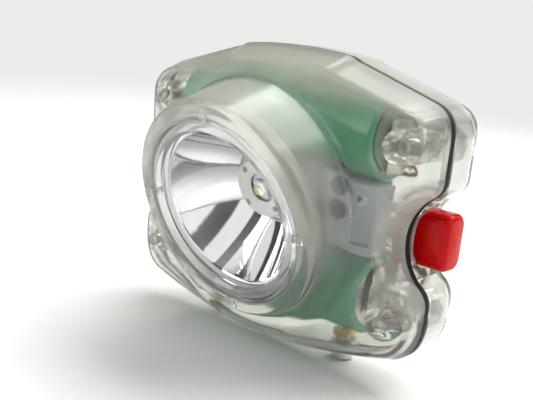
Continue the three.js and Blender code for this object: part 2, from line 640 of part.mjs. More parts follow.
function addSpring(startX, endX) {
  const wireRadius = 0.28;
  const coilRadius = 3.85;
  const turns = 3.5;
  const stepsPerTurn = 12;
  const run = endX - startX - 2 * wireRadius;
  class Coil extends THREE.Curve {
    getPoint(t) {
      const angle = t * turns * Math.PI * 2;
      const x = startX + wireRadius + run * t;
      const [across, up] = [coilRadius * Math.cos(angle), coilRadius * Math.sin(angle)];
      return new THREE.Vector3(x, BUTTON_Y + across, BUTTON_Z + up);
    }
  }
  const section = new THREE.Shape().absarc(0, 0, wireRadius, 0, Math.PI * 2);
  const steps = Math.round(turns * stepsPerTurn);
  const coil = new THREE.ExtrudeGeometry(section, { steps, extrudePath: new Coil(), curveSegments: 3 });
  addPiece('button_spring', combine(coil), 'steel');
}

// ---------------------------------------------------------------- fasteners, studs and hook

// a cylinder head with a cross recess on a plain shank, along Y with its head at the back
function screw({ headRadius, headStart, headEnd, shankRadius, tip, at }) {
  const head = rod('y', headRadius, headStart, headEnd, at, 16);
  const shank = rod('y', shankRadius, tip, headStart + 0.1, at, 10);
  const reach = headRadius * 0.6;
  const depth = [headEnd - 0.6, headEnd + 1];
  const cross = [
    box([at.x - reach, at.x + reach], depth, [at.z - 0.3, at.z + 0.3]),
    box([at.x - 0.3, at.x + 0.3], depth, [at.z - reach, at.z + reach]),
  ];
  return combine(head, [shank], cross);
}

function addHousingScrews() {
  bossPlaces.forEach((at, i) => {
    const head = { headRadius: 2.3, headStart: REAR_DEPTH - 2.7, headEnd: REAR_DEPTH - 0.9 };
    const shank = { shankRadius: SCREW_RADIUS, tip: SCREW_TIP_Y };
    addPiece(`housing_screw_${i + 1}`, screw({ ...head, ...shank, at }), 'steel');
  });
}

// the strip's side outline in Y and Z: a foot on the back, a bend over the top, a tongue and a flared tip
function hookShape(foot) {
  const innerEnd = foot + HOOK_THICKNESS;
  const bendY = innerEnd + HOOK_BEND_RADIUS;
  const outerRadius = HOOK_BEND_RADIUS + HOOK_THICKNESS;
  const tongueY = bendY + HOOK_BEND_RADIUS;
  const flareZ = HOOK_TIP_Z + 3;
  const shape = new THREE.Shape();
  shape.moveTo(foot, HOOK_FOOT_Z);
  shape.lineTo(innerEnd, HOOK_FOOT_Z);
  shape.absarc(bendY, HOOK_TOP_Z, HOOK_BEND_RADIUS, Math.PI, 0, true);
  shape.lineTo(tongueY, flareZ);
  shape.lineTo(tongueY + 1.2, HOOK_TIP_Z);
  shape.lineTo(tongueY + 1.2 + HOOK_THICKNESS, HOOK_TIP_Z + 0.4);
  shape.lineTo(tongueY + HOOK_THICKNESS, flareZ + 0.3);
  shape.absarc(bendY, HOOK_TOP_Z, outerRadius, 0, Math.PI, false);
  shape.closePath();
  return shape;
}

function addHook() {
  const foot = REAR_DEPTH + GAP;
  const strip = extruded('x', hookShape(foot), -HOOK_WIDTH / 2, HOOK_WIDTH / 2, { curveSegments: 10 });
  const holes = hookScrewPlaces.map((at) => rod('y', 1.4, foot - 1, foot + HOOK_THICKNESS + 1, at, 14));
  const access = hookScrewPlaces.map((at) => rod('y', 2.4, foot + 3, foot + 10, at, 16));
  addPiece('helmet_hook', combine(strip, [], [...holes, ...access]), 'steel');
  sides.forEach(({ name }, i) => {
    const headStart = foot + HOOK_THICKNESS + GAP;
    const form = { headRadius: 2, headStart, headEnd: headStart + 1.1, shankRadius: 1, tip: 7.4 };
    addPiece(`hook_screw_${name}`, screw({ ...form, at: hookScrewPlaces[i] }), 'steel');
    const insert = rod('y', 2, 7, REAR_DEPTH - 2.3, hookScrewPlaces[i], 16);
    const bore = rod('y', 1.3, 6, REAR_DEPTH, hookScrewPlaces[i], 12);
    addPiece(`hook_insert_${name}`, combine(insert, [], [bore]), 'brass');
  });
}

function addChargingStuds() {
  sides.forEach(({ name }, i) => {
    const at = studPlaces[i];
    const sealTop = STUD_SEAT_Z - GAP;
    const headTop = sealTop - 1;
    const head = rod('z', 2.4, headTop - 1.7, headTop, at, 24);
    const dimple = rod('z', 1.2, headTop - 2, headTop - 1.3, at, 16);
    const shank = rod('z', 1.2, headTop - 0.2, -23.8, at, 14);
    addPiece(`charging_stud_${name}`, combine(head, [shank], [dimple]), 'steel');
    const seal = rod('z', 2.5, sealTop - 0.7, sealTop, at, 24);
    addPiece(`charging_seal_${name}`, combine(seal, [], [rod('z', 1.5, -32, -26, at, 14)]), 'black_rubber');
    const nut = rod('z', 2.4, -25.4, -24, at, 6);
    addPiece(`charging_nut_${name}`, combine(nut, [], [rod('z', 1.5, -27, -22, at, 14)]), 'brass');
  });
}

addFrontHousing();
addRearHousing();
addGasket();
addWindow();
addReflector();
addLightEngine();
addCell('upper', UPPER_CELL_Z, 1);
addCell('lower', LOWER_CELL_Z, -1);
addCellLinks();
addHolders();
addControlBoard();
addWires();
addButton();
addHousingScrews();
addHook();
addChargingStuds();

export default lamp;
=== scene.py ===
"""Looks of a cordless miner's cap lamp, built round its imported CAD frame.

Shapes are worked out in millimetres in the frame's own axes (x right, y back, z up) and scaled to metres once.
"""
import math

import bmesh
import bpy
import numpy as np
from mathutils import Matrix, Vector


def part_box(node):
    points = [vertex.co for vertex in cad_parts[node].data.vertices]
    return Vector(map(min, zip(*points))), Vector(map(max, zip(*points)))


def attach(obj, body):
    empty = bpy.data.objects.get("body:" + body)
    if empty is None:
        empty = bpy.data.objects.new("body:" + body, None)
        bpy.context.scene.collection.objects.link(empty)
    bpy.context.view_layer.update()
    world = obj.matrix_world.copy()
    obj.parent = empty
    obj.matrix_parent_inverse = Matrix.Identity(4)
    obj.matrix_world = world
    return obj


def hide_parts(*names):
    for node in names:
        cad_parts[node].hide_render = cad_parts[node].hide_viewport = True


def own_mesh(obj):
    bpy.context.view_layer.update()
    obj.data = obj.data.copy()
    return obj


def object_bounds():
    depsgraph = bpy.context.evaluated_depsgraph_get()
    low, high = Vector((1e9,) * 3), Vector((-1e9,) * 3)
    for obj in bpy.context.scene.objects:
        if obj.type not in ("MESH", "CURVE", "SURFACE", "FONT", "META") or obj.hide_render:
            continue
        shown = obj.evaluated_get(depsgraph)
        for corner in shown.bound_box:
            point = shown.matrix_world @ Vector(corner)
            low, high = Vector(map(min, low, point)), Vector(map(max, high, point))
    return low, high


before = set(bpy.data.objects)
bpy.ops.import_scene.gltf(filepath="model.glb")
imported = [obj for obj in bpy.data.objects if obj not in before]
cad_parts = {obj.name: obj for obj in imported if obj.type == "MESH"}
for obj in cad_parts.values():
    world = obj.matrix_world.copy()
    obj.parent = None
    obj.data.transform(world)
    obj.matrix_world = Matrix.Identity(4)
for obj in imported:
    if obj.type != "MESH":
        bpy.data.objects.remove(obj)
cad_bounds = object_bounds()

MM = 0.001


# ---------------------------------------------------------------- driving dimensions, in mm


def box_mm(node):
    """(lowest corner, highest corner) of a CAD node in mm."""
    low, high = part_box(node)
    return np.array(low) / MM, np.array(high) / MM


def middle_mm(node):
    low, high = box_mm(node)
    return (low + high) / 2


REAR_LOW, REAR_HIGH = box_mm("rear_housing")
SEAM_Y = middle_mm("housing_gasket")[1]
BACK_Y = REAR_HIGH[1]
HALF_WIDTH = REAR_HIGH[0]
TOP = REAR_HIGH[2]
BOTTOM = REAR_LOW[2]
WALL = 2.2
CROWN_DROP = 0.8
STEP_START = 13.4  # the raised middle of the top falls away from here
STEP_END = 17.4
STEP_DROP = 1.3
SCALLOP_RADIUS = 11.4  # the thumb hollows in both sides
SCALLOP_X = 43.9
SCALLOP_Z = middle_mm("push_button")[2]
COLUMNS = 360

# how milky the clear shell is in places
TOP_HAZE = 0.5
BARREL_HAZE = 0.26
HOLLOW_HAZE = 0.36
BOSS_HAZE = 0.03
BARREL_ROUGHNESS = 0.2

TILT = math.radians(18.5)  # the beam points this far down
BEZEL_FORWARD = 19.6
RIM_RADIUS = 23.8
BORE_RADIUS = 20.6
BASE_RADIUS = 27.2
BASE_FORWARD = 11.2
BASE_TILT = math.radians(5)
LEDGE_OFFSET = 3.3
LEDGE_RADIUS = 17.5
LEDGE_THICKNESS = 1.6

MOUTH_RADIUS = 16.8
MOUTH_OFFSET = 2.0
THROAT_RADIUS = 7.0
THROAT_OFFSET = 14.5
BOWL_WALL = 0.9
LED_OFFSET = 12.4

BOSS_RADIUS = 3.4
SCREW_RADIUS = 1.3
SCREWS = [middle_mm(f"housing_screw_{i}")[[0, 2]] for i in (1, 2, 3, 4)]
RIGHT_SCREWS = [place for place in SCREWS if place[0] > 0]
SCREW_TIP_Y = box_mm("housing_screw_1")[0][1]
HOOK_SCREWS = [middle_mm(f"hook_screw_{side}")[[0, 2]] for side in ("left", "right")]
STUDS = [middle_mm(f"charging_stud_{side}")[[0, 1]] for side in ("left", "right")]
BUTTON_WIDTH = 6.4
BUTTON_HEIGHT = 11.6
STUD_SEAT_Z = box_mm("charging_seal_left")[1][2] + 0.3

# local +Y runs into the lamp along the beam's axis, and starts at the middle of the bezel's front plane
OPTICS = Matrix.Translation((0, SEAM_Y - BEZEL_FORWARD, 0)) @ Matrix.Rotation(TILT, 4, "X")


# ---------------------------------------------------------------- camera, light and floor

LAMP_MIDDLE = Vector((0.001, -0.019, 0.0015))
CAMERA_PLACE = Vector((0.1143, -0.1508, 0.0404))
CAMERA_UP = Vector((-0.2198, 0.0917, 0.9712))
CAMERA_LENS = 56.5
FLOOR_Z = cad_bounds[0][2] - 0.0002
FLOOR_REACH = 9.0
FLOOR_FADE = (0.16, 0.75)
STRIPS = 7.0  # light strips round the room
ROOM_STRENGTH = 0.55
PALE_SIDE = (-0.6, 0.7, 0.39)
BACKGROUND = (0.84, 0.84, 0.835)


def aimed(place, target, up=Vector((0, 0, 1))):
    """A matrix at place whose -Z looks at target."""
    back = (Vector(place) - Vector(target)).normalized()
    right = up.cross(back).normalized()
    turn = Matrix((right, back.cross(right), back)).transposed().to_4x4()
    return Matrix.Translation(place) @ turn


def add_camera():
    data = bpy.data.cameras.new("camera")
    data.lens = CAMERA_LENS
    data.clip_start = 0.005
    camera = bpy.data.objects.new("camera", data)
    camera.matrix_world = aimed(CAMERA_PLACE, LAMP_MIDDLE, CAMERA_UP)
    bpy.context.scene.collection.objects.link(camera)
    bpy.context.scene.camera = camera


def add_softbox(name, place, size, power, target=LAMP_MIDDLE):
    data = bpy.data.lights.new(name, "AREA")
    data.shape = "RECTANGLE"
    data.size, data.size_y = size
    data.energy = power
    light = bpy.data.objects.new(name, data)
    light.matrix_world = aimed(place, target)
    bpy.context.scene.collection.objects.link(light)


def add_world():
    """A soft room, pale behind the lamp and dark in front, with light strips that only glossy rays see."""
    world = bpy.data.worlds.new("studio")
    world.use_nodes = True
    tree = world.node_tree

    def add(kind, values, output=0, **settings):
        node = tree.nodes.new(kind)
        for key, value in settings.items():
            setattr(node, key, value)
        for key, value in values.items():
            if isinstance(value, bpy.types.NodeSocket):
                tree.links.new(value, node.inputs[key])
            else:
                node.inputs[key].default_value = value
        return node.outputs[output]

    def ranged(value, start, end, low=0.0, high=1.0):
        return add("ShaderNodeMapRange", {0: value, 1: start, 2: end, 3: low, 4: high})

    def mixed(share, first, second):
        return add("ShaderNodeMix", {0: share, 6: first, 7: second}, 2, data_type="RGBA")

    direction = add("ShaderNodeTexCoord", {})
    split = tree.nodes.new("ShaderNodeSeparateXYZ")
    tree.links.new(direction, split.inputs[0])
    towards = add("ShaderNodeVectorMath", {0: direction, 1: PALE_SIDE}, 1, operation="DOT_PRODUCT")
    room = mixed(ranged(towards, -0.35, 0.6), (0.09, 0.09, 0.095, 1), (1.25, 1.25, 1.23, 1))
    turn = add("ShaderNodeMath", {0: split.outputs["X"], 1: split.outputs["Y"]}, operation="ARCTAN2")
    wave = add("ShaderNodeMath", {0: add("ShaderNodeMath", {0: turn, 1: STRIPS}, operation="MULTIPLY")},
               operation="SINE")
    strips = mixed(ranged(wave, -0.45, -0.1), (0.045, 0.036, 0.03, 1), (1.6, 1.6, 1.58, 1))
    path = tree.nodes.new("ShaderNodeLightPath")
    mirrored = mixed(path.outputs["Is Glossy Ray"], room, strips)
    seen = mixed(path.outputs["Is Camera Ray"], mirrored, (*[c / ROOM_STRENGTH for c in BACKGROUND], 1))
    background = tree.nodes["Background"]
    tree.links.new(seen, background.inputs["Color"])
    background.inputs["Strength"].default_value = ROOM_STRENGTH
    bpy.context.scene.world = world


def add_floor():
    """A round pale floor that fades into the plain background, and can be seen through from beneath."""
    sides = 96
    angles = np.arange(sides) * 2 * math.pi / sides
    rim = [(FLOOR_REACH * math.cos(a), FLOOR_REACH * math.sin(a), FLOOR_Z) for a in angles]
    mesh = bpy.data.meshes.new("floor")
    mesh.from_pydata(rim, [], [tuple(range(sides))])
    floor = bpy.data.objects.new("floor", mesh)
    bpy.context.scene.collection.objects.link(floor)

    n = Nodes("studio_paper")
    grain = n.noise(900, 2.0)
    shade = n.blend(n.ranged(n.noise(40), 0, 1), (0.80, 0.80, 0.79), (0.83, 0.83, 0.82))
    paper = n.principled(Base_Color=shade, Roughness=n.ranged(grain, 0.7, 0.8), Normal=n.bump(grain, 0.02))
    distance = n.add("ShaderNodeVectorMath", {0: n.place}, operation="LENGTH").outputs["Value"]
    fade = {0: distance, 1: FLOOR_FADE[0], 2: FLOOR_FADE[1]}
    far = n.add("ShaderNodeMapRange", fade, interpolation_type="SMOOTHSTEP").outputs[0]
    glow = n.add("ShaderNodeEmission", {"Color": (*BACKGROUND, 1)})
    path = n.add("ShaderNodeLightPath")
    share = n.math("MULTIPLY", far, path.outputs["Is Camera Ray"])
    above = n.add("ShaderNodeMixShader", {0: share, 1: paper.outputs[0], 2: glow.outputs[0]}).outputs[0]
    below = n.add("ShaderNodeBsdfTransparent").outputs[0]
    underside = n.add("ShaderNodeNewGeometry").outputs["Backfacing"]
    sheet = n.add("ShaderNodeMixShader", {0: underside, 1: above, 2: below})
    mesh.materials.append(n.finish(sheet.outputs[0]))


# ---------------------------------------------------------------- materials


class Nodes:
    """Short ways to add and join the nodes of one material."""

    def __init__(self, name):
        self.material = bpy.data.materials.new(name)
        self.material.use_nodes = True
        self.tree = self.material.node_tree
        self.tree.nodes.clear()
        self.output = self.add("ShaderNodeOutputMaterial")
        self.place = self.add("ShaderNodeTexCoord").outputs["Object"]

    def add(self, kind, values=None, **settings):
        node = self.tree.nodes.new(kind)
        for key, value in settings.items():
            setattr(node, key, value)
        for key, value in (values or {}).items():
            if isinstance(value, bpy.types.NodeSocket):
                self.tree.links.new(value, node.inputs[key])
            else:
                node.inputs[key].default_value = value
        return node

    def noise(self, scale, detail=3.0, stretch=(1, 1, 1), distortion=0.0):
        spot = self.add("ShaderNodeMapping", {"Vector": self.place, "Scale": stretch}).outputs[0]
        values = {"Vector": spot, "Scale": scale, "Detail": detail, "Distortion": distortion}
        return self.add("ShaderNodeTexNoise", values).outputs["Fac"]

    def ranged(self, value, low, high, start=0.3, end=0.7):
        values = {"Value": value, "From Min": start, "From Max": end, "To Min": low, "To Max": high}
        return self.add("ShaderNodeMapRange", values).outputs[0]

    def blend(self, share, first, second):
        values = {0: share, 6: self.colour(first), 7: self.colour(second)}
        return self.add("ShaderNodeMix", values, data_type="RGBA").outputs[2]

    def math(self, operation, first, second=0.0):
        return self.add("ShaderNodeMath", {0: first, 1: second}, operation=operation).outputs[0]

    def bump(self, height, strength, distance_mm=0.1):
        values = {"Height": height, "Strength": strength, "Distance": distance_mm * MM}
        return self.add("ShaderNodeBump", values).outputs[0]

    def principled(self, **values):
        named = {key.replace("_", " "): value for key, value in values.items()}
        return self.add("ShaderNodeBsdfPrincipled", named)

    @staticmethod
    def colour(value):
        return (*value, 1.0) if isinstance(value, tuple) and len(value) == 3 else value

    def finish(self, shader):
        self.tree.links.new(shader, self.output.inputs["Surface"])
        return self.material


def solid_finish(name, dark, light, roughness, metallic=0.0, patch=300, grain=4000, bump=0.1, stretch=(1, 1, 1),
                 coat=0.0, specular=0.5, depth_mm=0.05):
    """An opaque finish: two close colours in soft patches, a fine grain in its roughness and its surface."""
    n = Nodes(name)
    patches = n.ranged(n.noise(patch, 4.0, stretch), 0.0, 1.0)
    fine = n.noise(grain, 2.0, stretch)
    shader = n.principled(Base_Color=n.blend(patches, dark, light), Roughness=n.ranged(fine, *roughness),
                          Metallic=metallic, Normal=n.bump(fine, bump, depth_mm))
    shader.inputs["Coat Weight"].default_value = coat
    shader.inputs["Specular IOR Level"].default_value = specular
    return n.finish(shader.outputs[0])


def clear_finish(name, tint, roughness, haze, cloud=(0.90, 0.92, 0.90), ior=1.5, zones=None):
    """Clear polycarbonate that lets lamps through, with a faint milky haze and the slow waviness of a moulding.

    zones(nodes, rough, haze) may give other roughness and haze by place.
    """
    n = Nodes(name)
    rough = n.ranged(n.noise(2500, 2.0), roughness * 0.8, roughness * 1.3)
    share = n.ranged(n.noise(90, 3.0), haze * 0.7, haze * 1.3)
    if zones:
        rough, share = zones(n, rough, share)
    wavy = n.bump(n.noise(160, 2.0), 0.25, 0.3)
    glass = n.principled(Base_Color=(*tint, 1), Roughness=rough, IOR=ior, Normal=wavy)
    glass.inputs["Transmission Weight"].default_value = 1.0
    milk = n.add("ShaderNodeBsdfTranslucent", {"Color": (*cloud, 1)})
    bloom = n.add("ShaderNodeBsdfDiffuse", {"Color": (*cloud, 1), "Normal": wavy})
    fog = n.add("ShaderNodeMixShader", {0: 0.5, 1: milk.outputs[0], 2: bloom.outputs[0]})
    body = n.add("ShaderNodeMixShader", {0: share, 1: glass.outputs[0], 2: fog.outputs[0]})
    path = n.add("ShaderNodeLightPath")
    indirect = n.math("MAXIMUM", path.outputs["Is Shadow Ray"], path.outputs["Is Diffuse Ray"])
    through = n.add("ShaderNodeBsdfTransparent", {"Color": (*[0.55 + 0.42 * c for c in tint], 1)})
    shell = n.add("ShaderNodeMixShader", {0: indirect, 1: body.outputs[0], 2: through.outputs[0]})
    return n.finish(shell.outputs[0])


def shell_zones(n, rough, haze):
    """Satin on the barrel, frosted on the top and in the thumb hollows, faintly milky at the bosses."""
    spot = n.add("ShaderNodeSeparateXYZ", {0: n.place})
    side = n.math("ABSOLUTE", spot.outputs["X"])
    depth, height = spot.outputs["Y"], spot.outputs["Z"]
    base, seam, rim = (y * MM for y in (SEAM_Y - BASE_FORWARD, SEAM_Y, SEAM_Y - BEZEL_FORWARD))

    def near(x, z, inside, outside):
        """1 inside a radius about an axis along y, falling to 0 outside another."""
        across = n.math("SUBTRACT", side, x * MM)
        up = n.math("SUBTRACT", height, z * MM)
        square = n.math("ADD", n.math("MULTIPLY", across, across), n.math("MULTIPLY", up, up))
        return n.ranged(n.math("SQRT", square), 1.0, 0.0, inside * MM, outside * MM)

    on_barrel = n.ranged(depth, 1.0, 0.0, base - 2.5 * MM, base + 0.5 * MM)
    to_rim = n.ranged(depth, 1.0, 0.0, rim + 1 * MM, base - 0.5 * MM)
    in_front = n.ranged(depth, 1.0, 0.0, seam - 0.5 * MM, seam + 0.5 * MM)
    high_up = n.ranged(height, 0.0, 1.0, 23 * MM, 27 * MM)
    on_top = n.math("MULTIPLY", high_up, n.math("SUBTRACT", 1.0, on_barrel))
    at_hollow = near(SCALLOP_X, SCALLOP_Z, SCALLOP_RADIUS + 2.6, SCALLOP_RADIUS + 3.4)
    in_hollow = n.math("MULTIPLY", at_hollow, in_front)
    frost = n.math("MULTIPLY", on_top, TOP_HAZE)
    frost = n.math("MAXIMUM", frost, n.math("MULTIPLY", to_rim, BARREL_HAZE))
    frost = n.math("MAXIMUM", frost, n.math("MULTIPLY", in_hollow, HOLLOW_HAZE))
    for x, z in RIGHT_SCREWS:
        frost = n.math("MAXIMUM", frost, n.math("MULTIPLY", near(x, z, 3.5, 4.2), BOSS_HAZE))
    rough = n.add("ShaderNodeMix", {0: on_barrel, 2: rough, 3: BARREL_ROUGHNESS}).outputs[0]
    return rough, n.math("ADD", haze, frost)


def board_finish(name):
    """Green solder mask over fine copper tracks."""
    n = Nodes(name)
    spot = n.add("ShaderNodeMapping", {"Vector": n.place, "Rotation": (math.pi / 2, 0, 0)}).outputs[0]
    bricks = n.add("ShaderNodeTexBrick", {"Vector": spot, "Scale": 420.0, "Mortar Size": 0.03,
                                          "Color1": (0, 0, 0, 1), "Color2": (0, 0, 0, 1), "Mortar": (1, 1, 1, 1)})
    mask = n.blend(n.ranged(n.noise(500), 0, 1), (0.015, 0.11, 0.05), (0.02, 0.15, 0.07))
    tracks = n.blend(bricks.outputs["Color"], mask, (0.05, 0.26, 0.12))
    rough = n.ranged(n.noise(3000), 0.25, 0.4)
    shader = n.principled(Base_Color=tracks, Roughness=rough, Normal=n.bump(bricks.outputs["Fac"], 0.3, 0.04))
    return n.finish(shader.outputs[0])


def make_materials():
    return {
        "shell": clear_finish("clear_shell", (0.79, 0.80, 0.765), 0.09, 0.05, (0.62, 0.60, 0.545),
                              zones=shell_zones),
        "clear": clear_finish("clear_ring", (0.86, 0.875, 0.86), 0.10, 0.12, (0.66, 0.67, 0.65)),
        "window": clear_finish("clear_window", (0.985, 0.99, 0.985), 0.015, 0.0, ior=1.3),
        "dome": clear_finish("clear_dome", (0.98, 0.97, 0.9), 0.03, 0.02, ior=1.4),
        "rubber": solid_finish("black_rubber", (0.004, 0.004, 0.004), (0.010, 0.010, 0.010), (0.55, 0.75),
                               grain=5000, specular=0.3),
        "chrome": solid_finish("plated_chrome", (0.90, 0.91, 0.93), (0.95, 0.955, 0.96), (0.025, 0.07), 1.0,
                               patch=120, grain=1800, bump=0.03, depth_mm=0.02),
        "fibre": solid_finish("cell_fibre", (0.16, 0.25, 0.20), (0.24, 0.33, 0.28), (0.5, 0.7), grain=2500),
        "white": solid_finish("white_plastic", (0.78, 0.78, 0.74), (0.88, 0.88, 0.84), (0.35, 0.5)),
        "ceramic": solid_finish("led_ceramic", (0.72, 0.72, 0.68), (0.85, 0.85, 0.8), (0.3, 0.45), grain=8000),
        "phosphor": solid_finish("led_phosphor", (0.85, 0.50, 0.03), (0.98, 0.68, 0.08), (0.4, 0.6), patch=2500,
                                 grain=9000, bump=0.3),
        "aluminium": solid_finish("machined_aluminium", (0.50, 0.52, 0.54), (0.66, 0.68, 0.7), (0.25, 0.42), 1.0,
                                  patch=250, grain=900, bump=0.15, stretch=(1, 1, 14)),
        "steel": solid_finish("stainless_steel", (0.60, 0.61, 0.62), (0.74, 0.75, 0.76), (0.14, 0.28), 1.0,
                              patch=220, grain=1200, bump=0.08, stretch=(1, 8, 1)),
        "spring": solid_finish("spring_steel", (0.42, 0.42, 0.43), (0.58, 0.58, 0.58), (0.2, 0.35), 1.0),
        "cell": solid_finish("cell_sleeve", (0.05, 0.33, 0.17), (0.075, 0.41, 0.22), (0.16, 0.28), patch=70,
                             grain=420, bump=0.18, stretch=(6, 1, 1), coat=0.5, depth_mm=0.12),
        "can": solid_finish("cell_can", (0.50, 0.50, 0.48), (0.66, 0.65, 0.62), (0.2, 0.35), 1.0),
        "grey": solid_finish("grey_holder", (0.42, 0.46, 0.49), (0.52, 0.56, 0.59), (0.4, 0.55), grain=3500),
        "black": solid_finish("chip_black", (0.012, 0.012, 0.014), (0.03, 0.03, 0.032), (0.35, 0.5), grain=6000),
        "nickel": solid_finish("nickel_strip", (0.56, 0.54, 0.48), (0.7, 0.68, 0.61), (0.22, 0.38), 1.0, patch=300,
                               grain=1600, stretch=(1, 1, 10)),
        "brass": solid_finish("turned_brass", (0.62, 0.42, 0.14), (0.76, 0.55, 0.22), (0.2, 0.35), 1.0,
                              stretch=(1, 9, 1)),
        "red": solid_finish("red_button", (0.50, 0.001, 0.001), (0.62, 0.002, 0.002), (0.1, 0.16), patch=150,
                            grain=1500, bump=0.04, specular=0.14),
        "red_wire": solid_finish("red_insulation", (0.22, 0.012, 0.01), (0.34, 0.02, 0.015), (0.3, 0.4),
                                 patch=500),
        "black_wire": solid_finish("black_insulation", (0.01, 0.01, 0.01), (0.025, 0.025, 0.025), (0.3, 0.4)),
        "solder": solid_finish("solder", (0.55, 0.55, 0.54), (0.7, 0.7, 0.69), (0.15, 0.3), 1.0, patch=1500),
        "board": board_finish("circuit_board"),
    }


# ---------------------------------------------------------------- mesh making


def piece_from(name, points, faces, material, sharp=35.0):
    """An object from points in mm in the frame's axes."""
    mesh = bpy.data.meshes.new(name)
    mesh.from_pydata([tuple(np.asarray(p, float) * MM) for p in points], [], faces)
    mesh.materials.append(materials[material])
    piece = bpy.data.objects.new(name, mesh)
    bpy.context.scene.collection.objects.link(piece)
    set_smooth(piece, sharp)
    return piece


def set_smooth(piece, sharp=35.0):
    """Outward faces, smooth except over edges sharper than the angle."""
    net = bmesh.new()
    net.from_mesh(piece.data)
    bmesh.ops.recalc_face_normals(net, faces=net.faces)
    net.to_mesh(piece.data)
    net.free()
    piece.data.shade_smooth()
    piece.data.set_sharp_from_angle(angle=math.radians(sharp))


def baked(piece):
    """The piece with its modifiers applied."""
    graph = bpy.context.evaluated_depsgraph_get()
    graph.update()
    mesh = bpy.data.meshes.new_from_object(piece.evaluated_get(graph))
    piece.modifiers.clear()
    piece.data = mesh
    return piece


def combined(piece, others, operation, sharp=35.0):
    """The piece joined with, cut by or kept inside each of the other pieces, which are used up."""
    for other in others:
        step = piece.modifiers.new("combine", "BOOLEAN")
        step.operation = operation
        step.solver = "MANIFOLD"
        step.object = other
        baked(piece)
        bpy.data.objects.remove(other)
    set_smooth(piece, sharp)
    return piece


def bevelled(piece, width_mm, segments=2, angle=40.0):
    step = piece.modifiers.new("soft_edges", "BEVEL")
    step.width = width_mm * MM
    step.segments = segments
    step.limit_method = "ANGLE"
    step.angle_limit = math.radians(angle)
    step.harden_normals = False
    return piece


def net_faces(rows, columns, wrap_rows=False, capped=True):
    """Quads of a net whose columns go round, with flat ends unless its rows go round too."""
    faces = []
    for row in range(rows if wrap_rows else rows - 1):
        here, there = row * columns, (row + 1) % rows * columns
        for i in range(columns):
            j = (i + 1) % columns
            faces.append((here + i, here + j, there + j, there + i))
    if capped and not wrap_rows:
        faces.append(tuple(range(columns)))
        faces.append(tuple(range((rows - 1) * columns, rows * columns)))
    return faces


def lofted(name, rows, material, wrap_rows=False, sharp=35.0):
    """A closed piece from rows of points that each go once round."""
    points = [p for row in rows for p in row]
    return piece_from(name, points, net_faces(len(rows), len(rows[0]), wrap_rows), material, sharp)


def rounded(outline, reach, steps=4, closed=True):
    """The outline with its corners rounded off, each starting at most reach away from the corner."""
    points = [np.asarray(p, float) for p in outline]
    made = []
    for i, corner in enumerate(points):
        if not closed and i in (0, len(points) - 1):
            made.append(corner)
            continue
        ends = []
        for near in (points[i - 1], points[(i + 1) % len(points)]):
            gap = np.linalg.norm(near - corner)
            ends.append(corner + (near - corner) * min(reach / gap, 0.49))
        for t in np.linspace(0, 1, steps + 1):
            made.append(ends[0] * (1 - t) ** 2 + corner * 2 * t * (1 - t) + ends[1] * t ** 2)
    return made


AXES = {"x": (1, 2, 0), "y": (2, 0, 1), "z": (0, 1, 2)}


def turned(name, profile, material, axis="y", at=(0, 0, 0), sides=96, closed=False, placed=None, sharp=35.0):
    """A turned piece. The profile's points are (radius, distance along the axis)."""
    first, second, along = AXES[axis]
    rows = []
    for radius, distance in profile:
        row = np.zeros((sides, 3))
        angles = np.arange(sides) * 2 * math.pi / sides
        row[:, first] = radius * np.cos(angles)
        row[:, second] = radius * np.sin(angles)
        row[:, along] = distance
        rows.append(row + np.asarray(at, float))
    piece = lofted(name, rows, material, closed, sharp)
    return in_place(piece, placed)


def in_place(piece, placed):
    """The mesh moved by a matrix that is given in mm."""
    if placed is not None:
        metres = placed.copy()
        metres.translation = placed.translation * MM
        piece.data.transform(metres)
    return piece


def prism(name, outline, axis, start, end, material, placed=None, sharp=35.0):
    """An outline in the plane across the axis, drawn out from start to end."""
    first, second, along = AXES[axis]
    rows = []
    for level in (start, end):
        row = np.zeros((len(outline), 3))
        row[:, first] = [p[0] for p in outline]
        row[:, second] = [p[1] for p in outline]
        row[:, along] = level
        rows.append(row)
    return in_place(lofted(name, rows, material, sharp=sharp), placed)


def block(name, low, high, material, placed=None):
    outline = [(low[0], low[1]), (high[0], low[1]), (high[0], high[1]), (low[0], high[1])]
    return prism(name, outline, "z", low[2], high[2], material, placed)


def rod(name, axis, radius, start, end, at, material="steel", sides=48):
    return turned(name, [(radius, start), (radius, end)], material, axis, at, sides)


def rounded_rectangle(width, height, radius, centre=(0, 0), steps=8):
    """Points round a rectangle with arcs for corners."""
    points = []
    for turn in range(4):
        angles = np.linspace(turn, turn + 1, steps + 1) * math.pi / 2
        sx = 1 if turn in (0, 3) else -1
        sy = 1 if turn in (0, 1) else -1
        corner = (centre[0] + sx * (width / 2 - radius), centre[1] + sy * (height / 2 - radius))
        points += [(corner[0] + radius * math.cos(a), corner[1] + radius * math.sin(a)) for a in angles]
    return points


# ---------------------------------------------------------------- housing outline and profiles


def quadratic(start, control, end, steps=40):
    t = np.linspace(0, 1, steps + 1)[1:, None]
    start, control, end = (np.asarray(p, float) for p in (start, control, end))
    return list(start * (1 - t) ** 2 + control * 2 * t * (1 - t) + end * t ** 2)


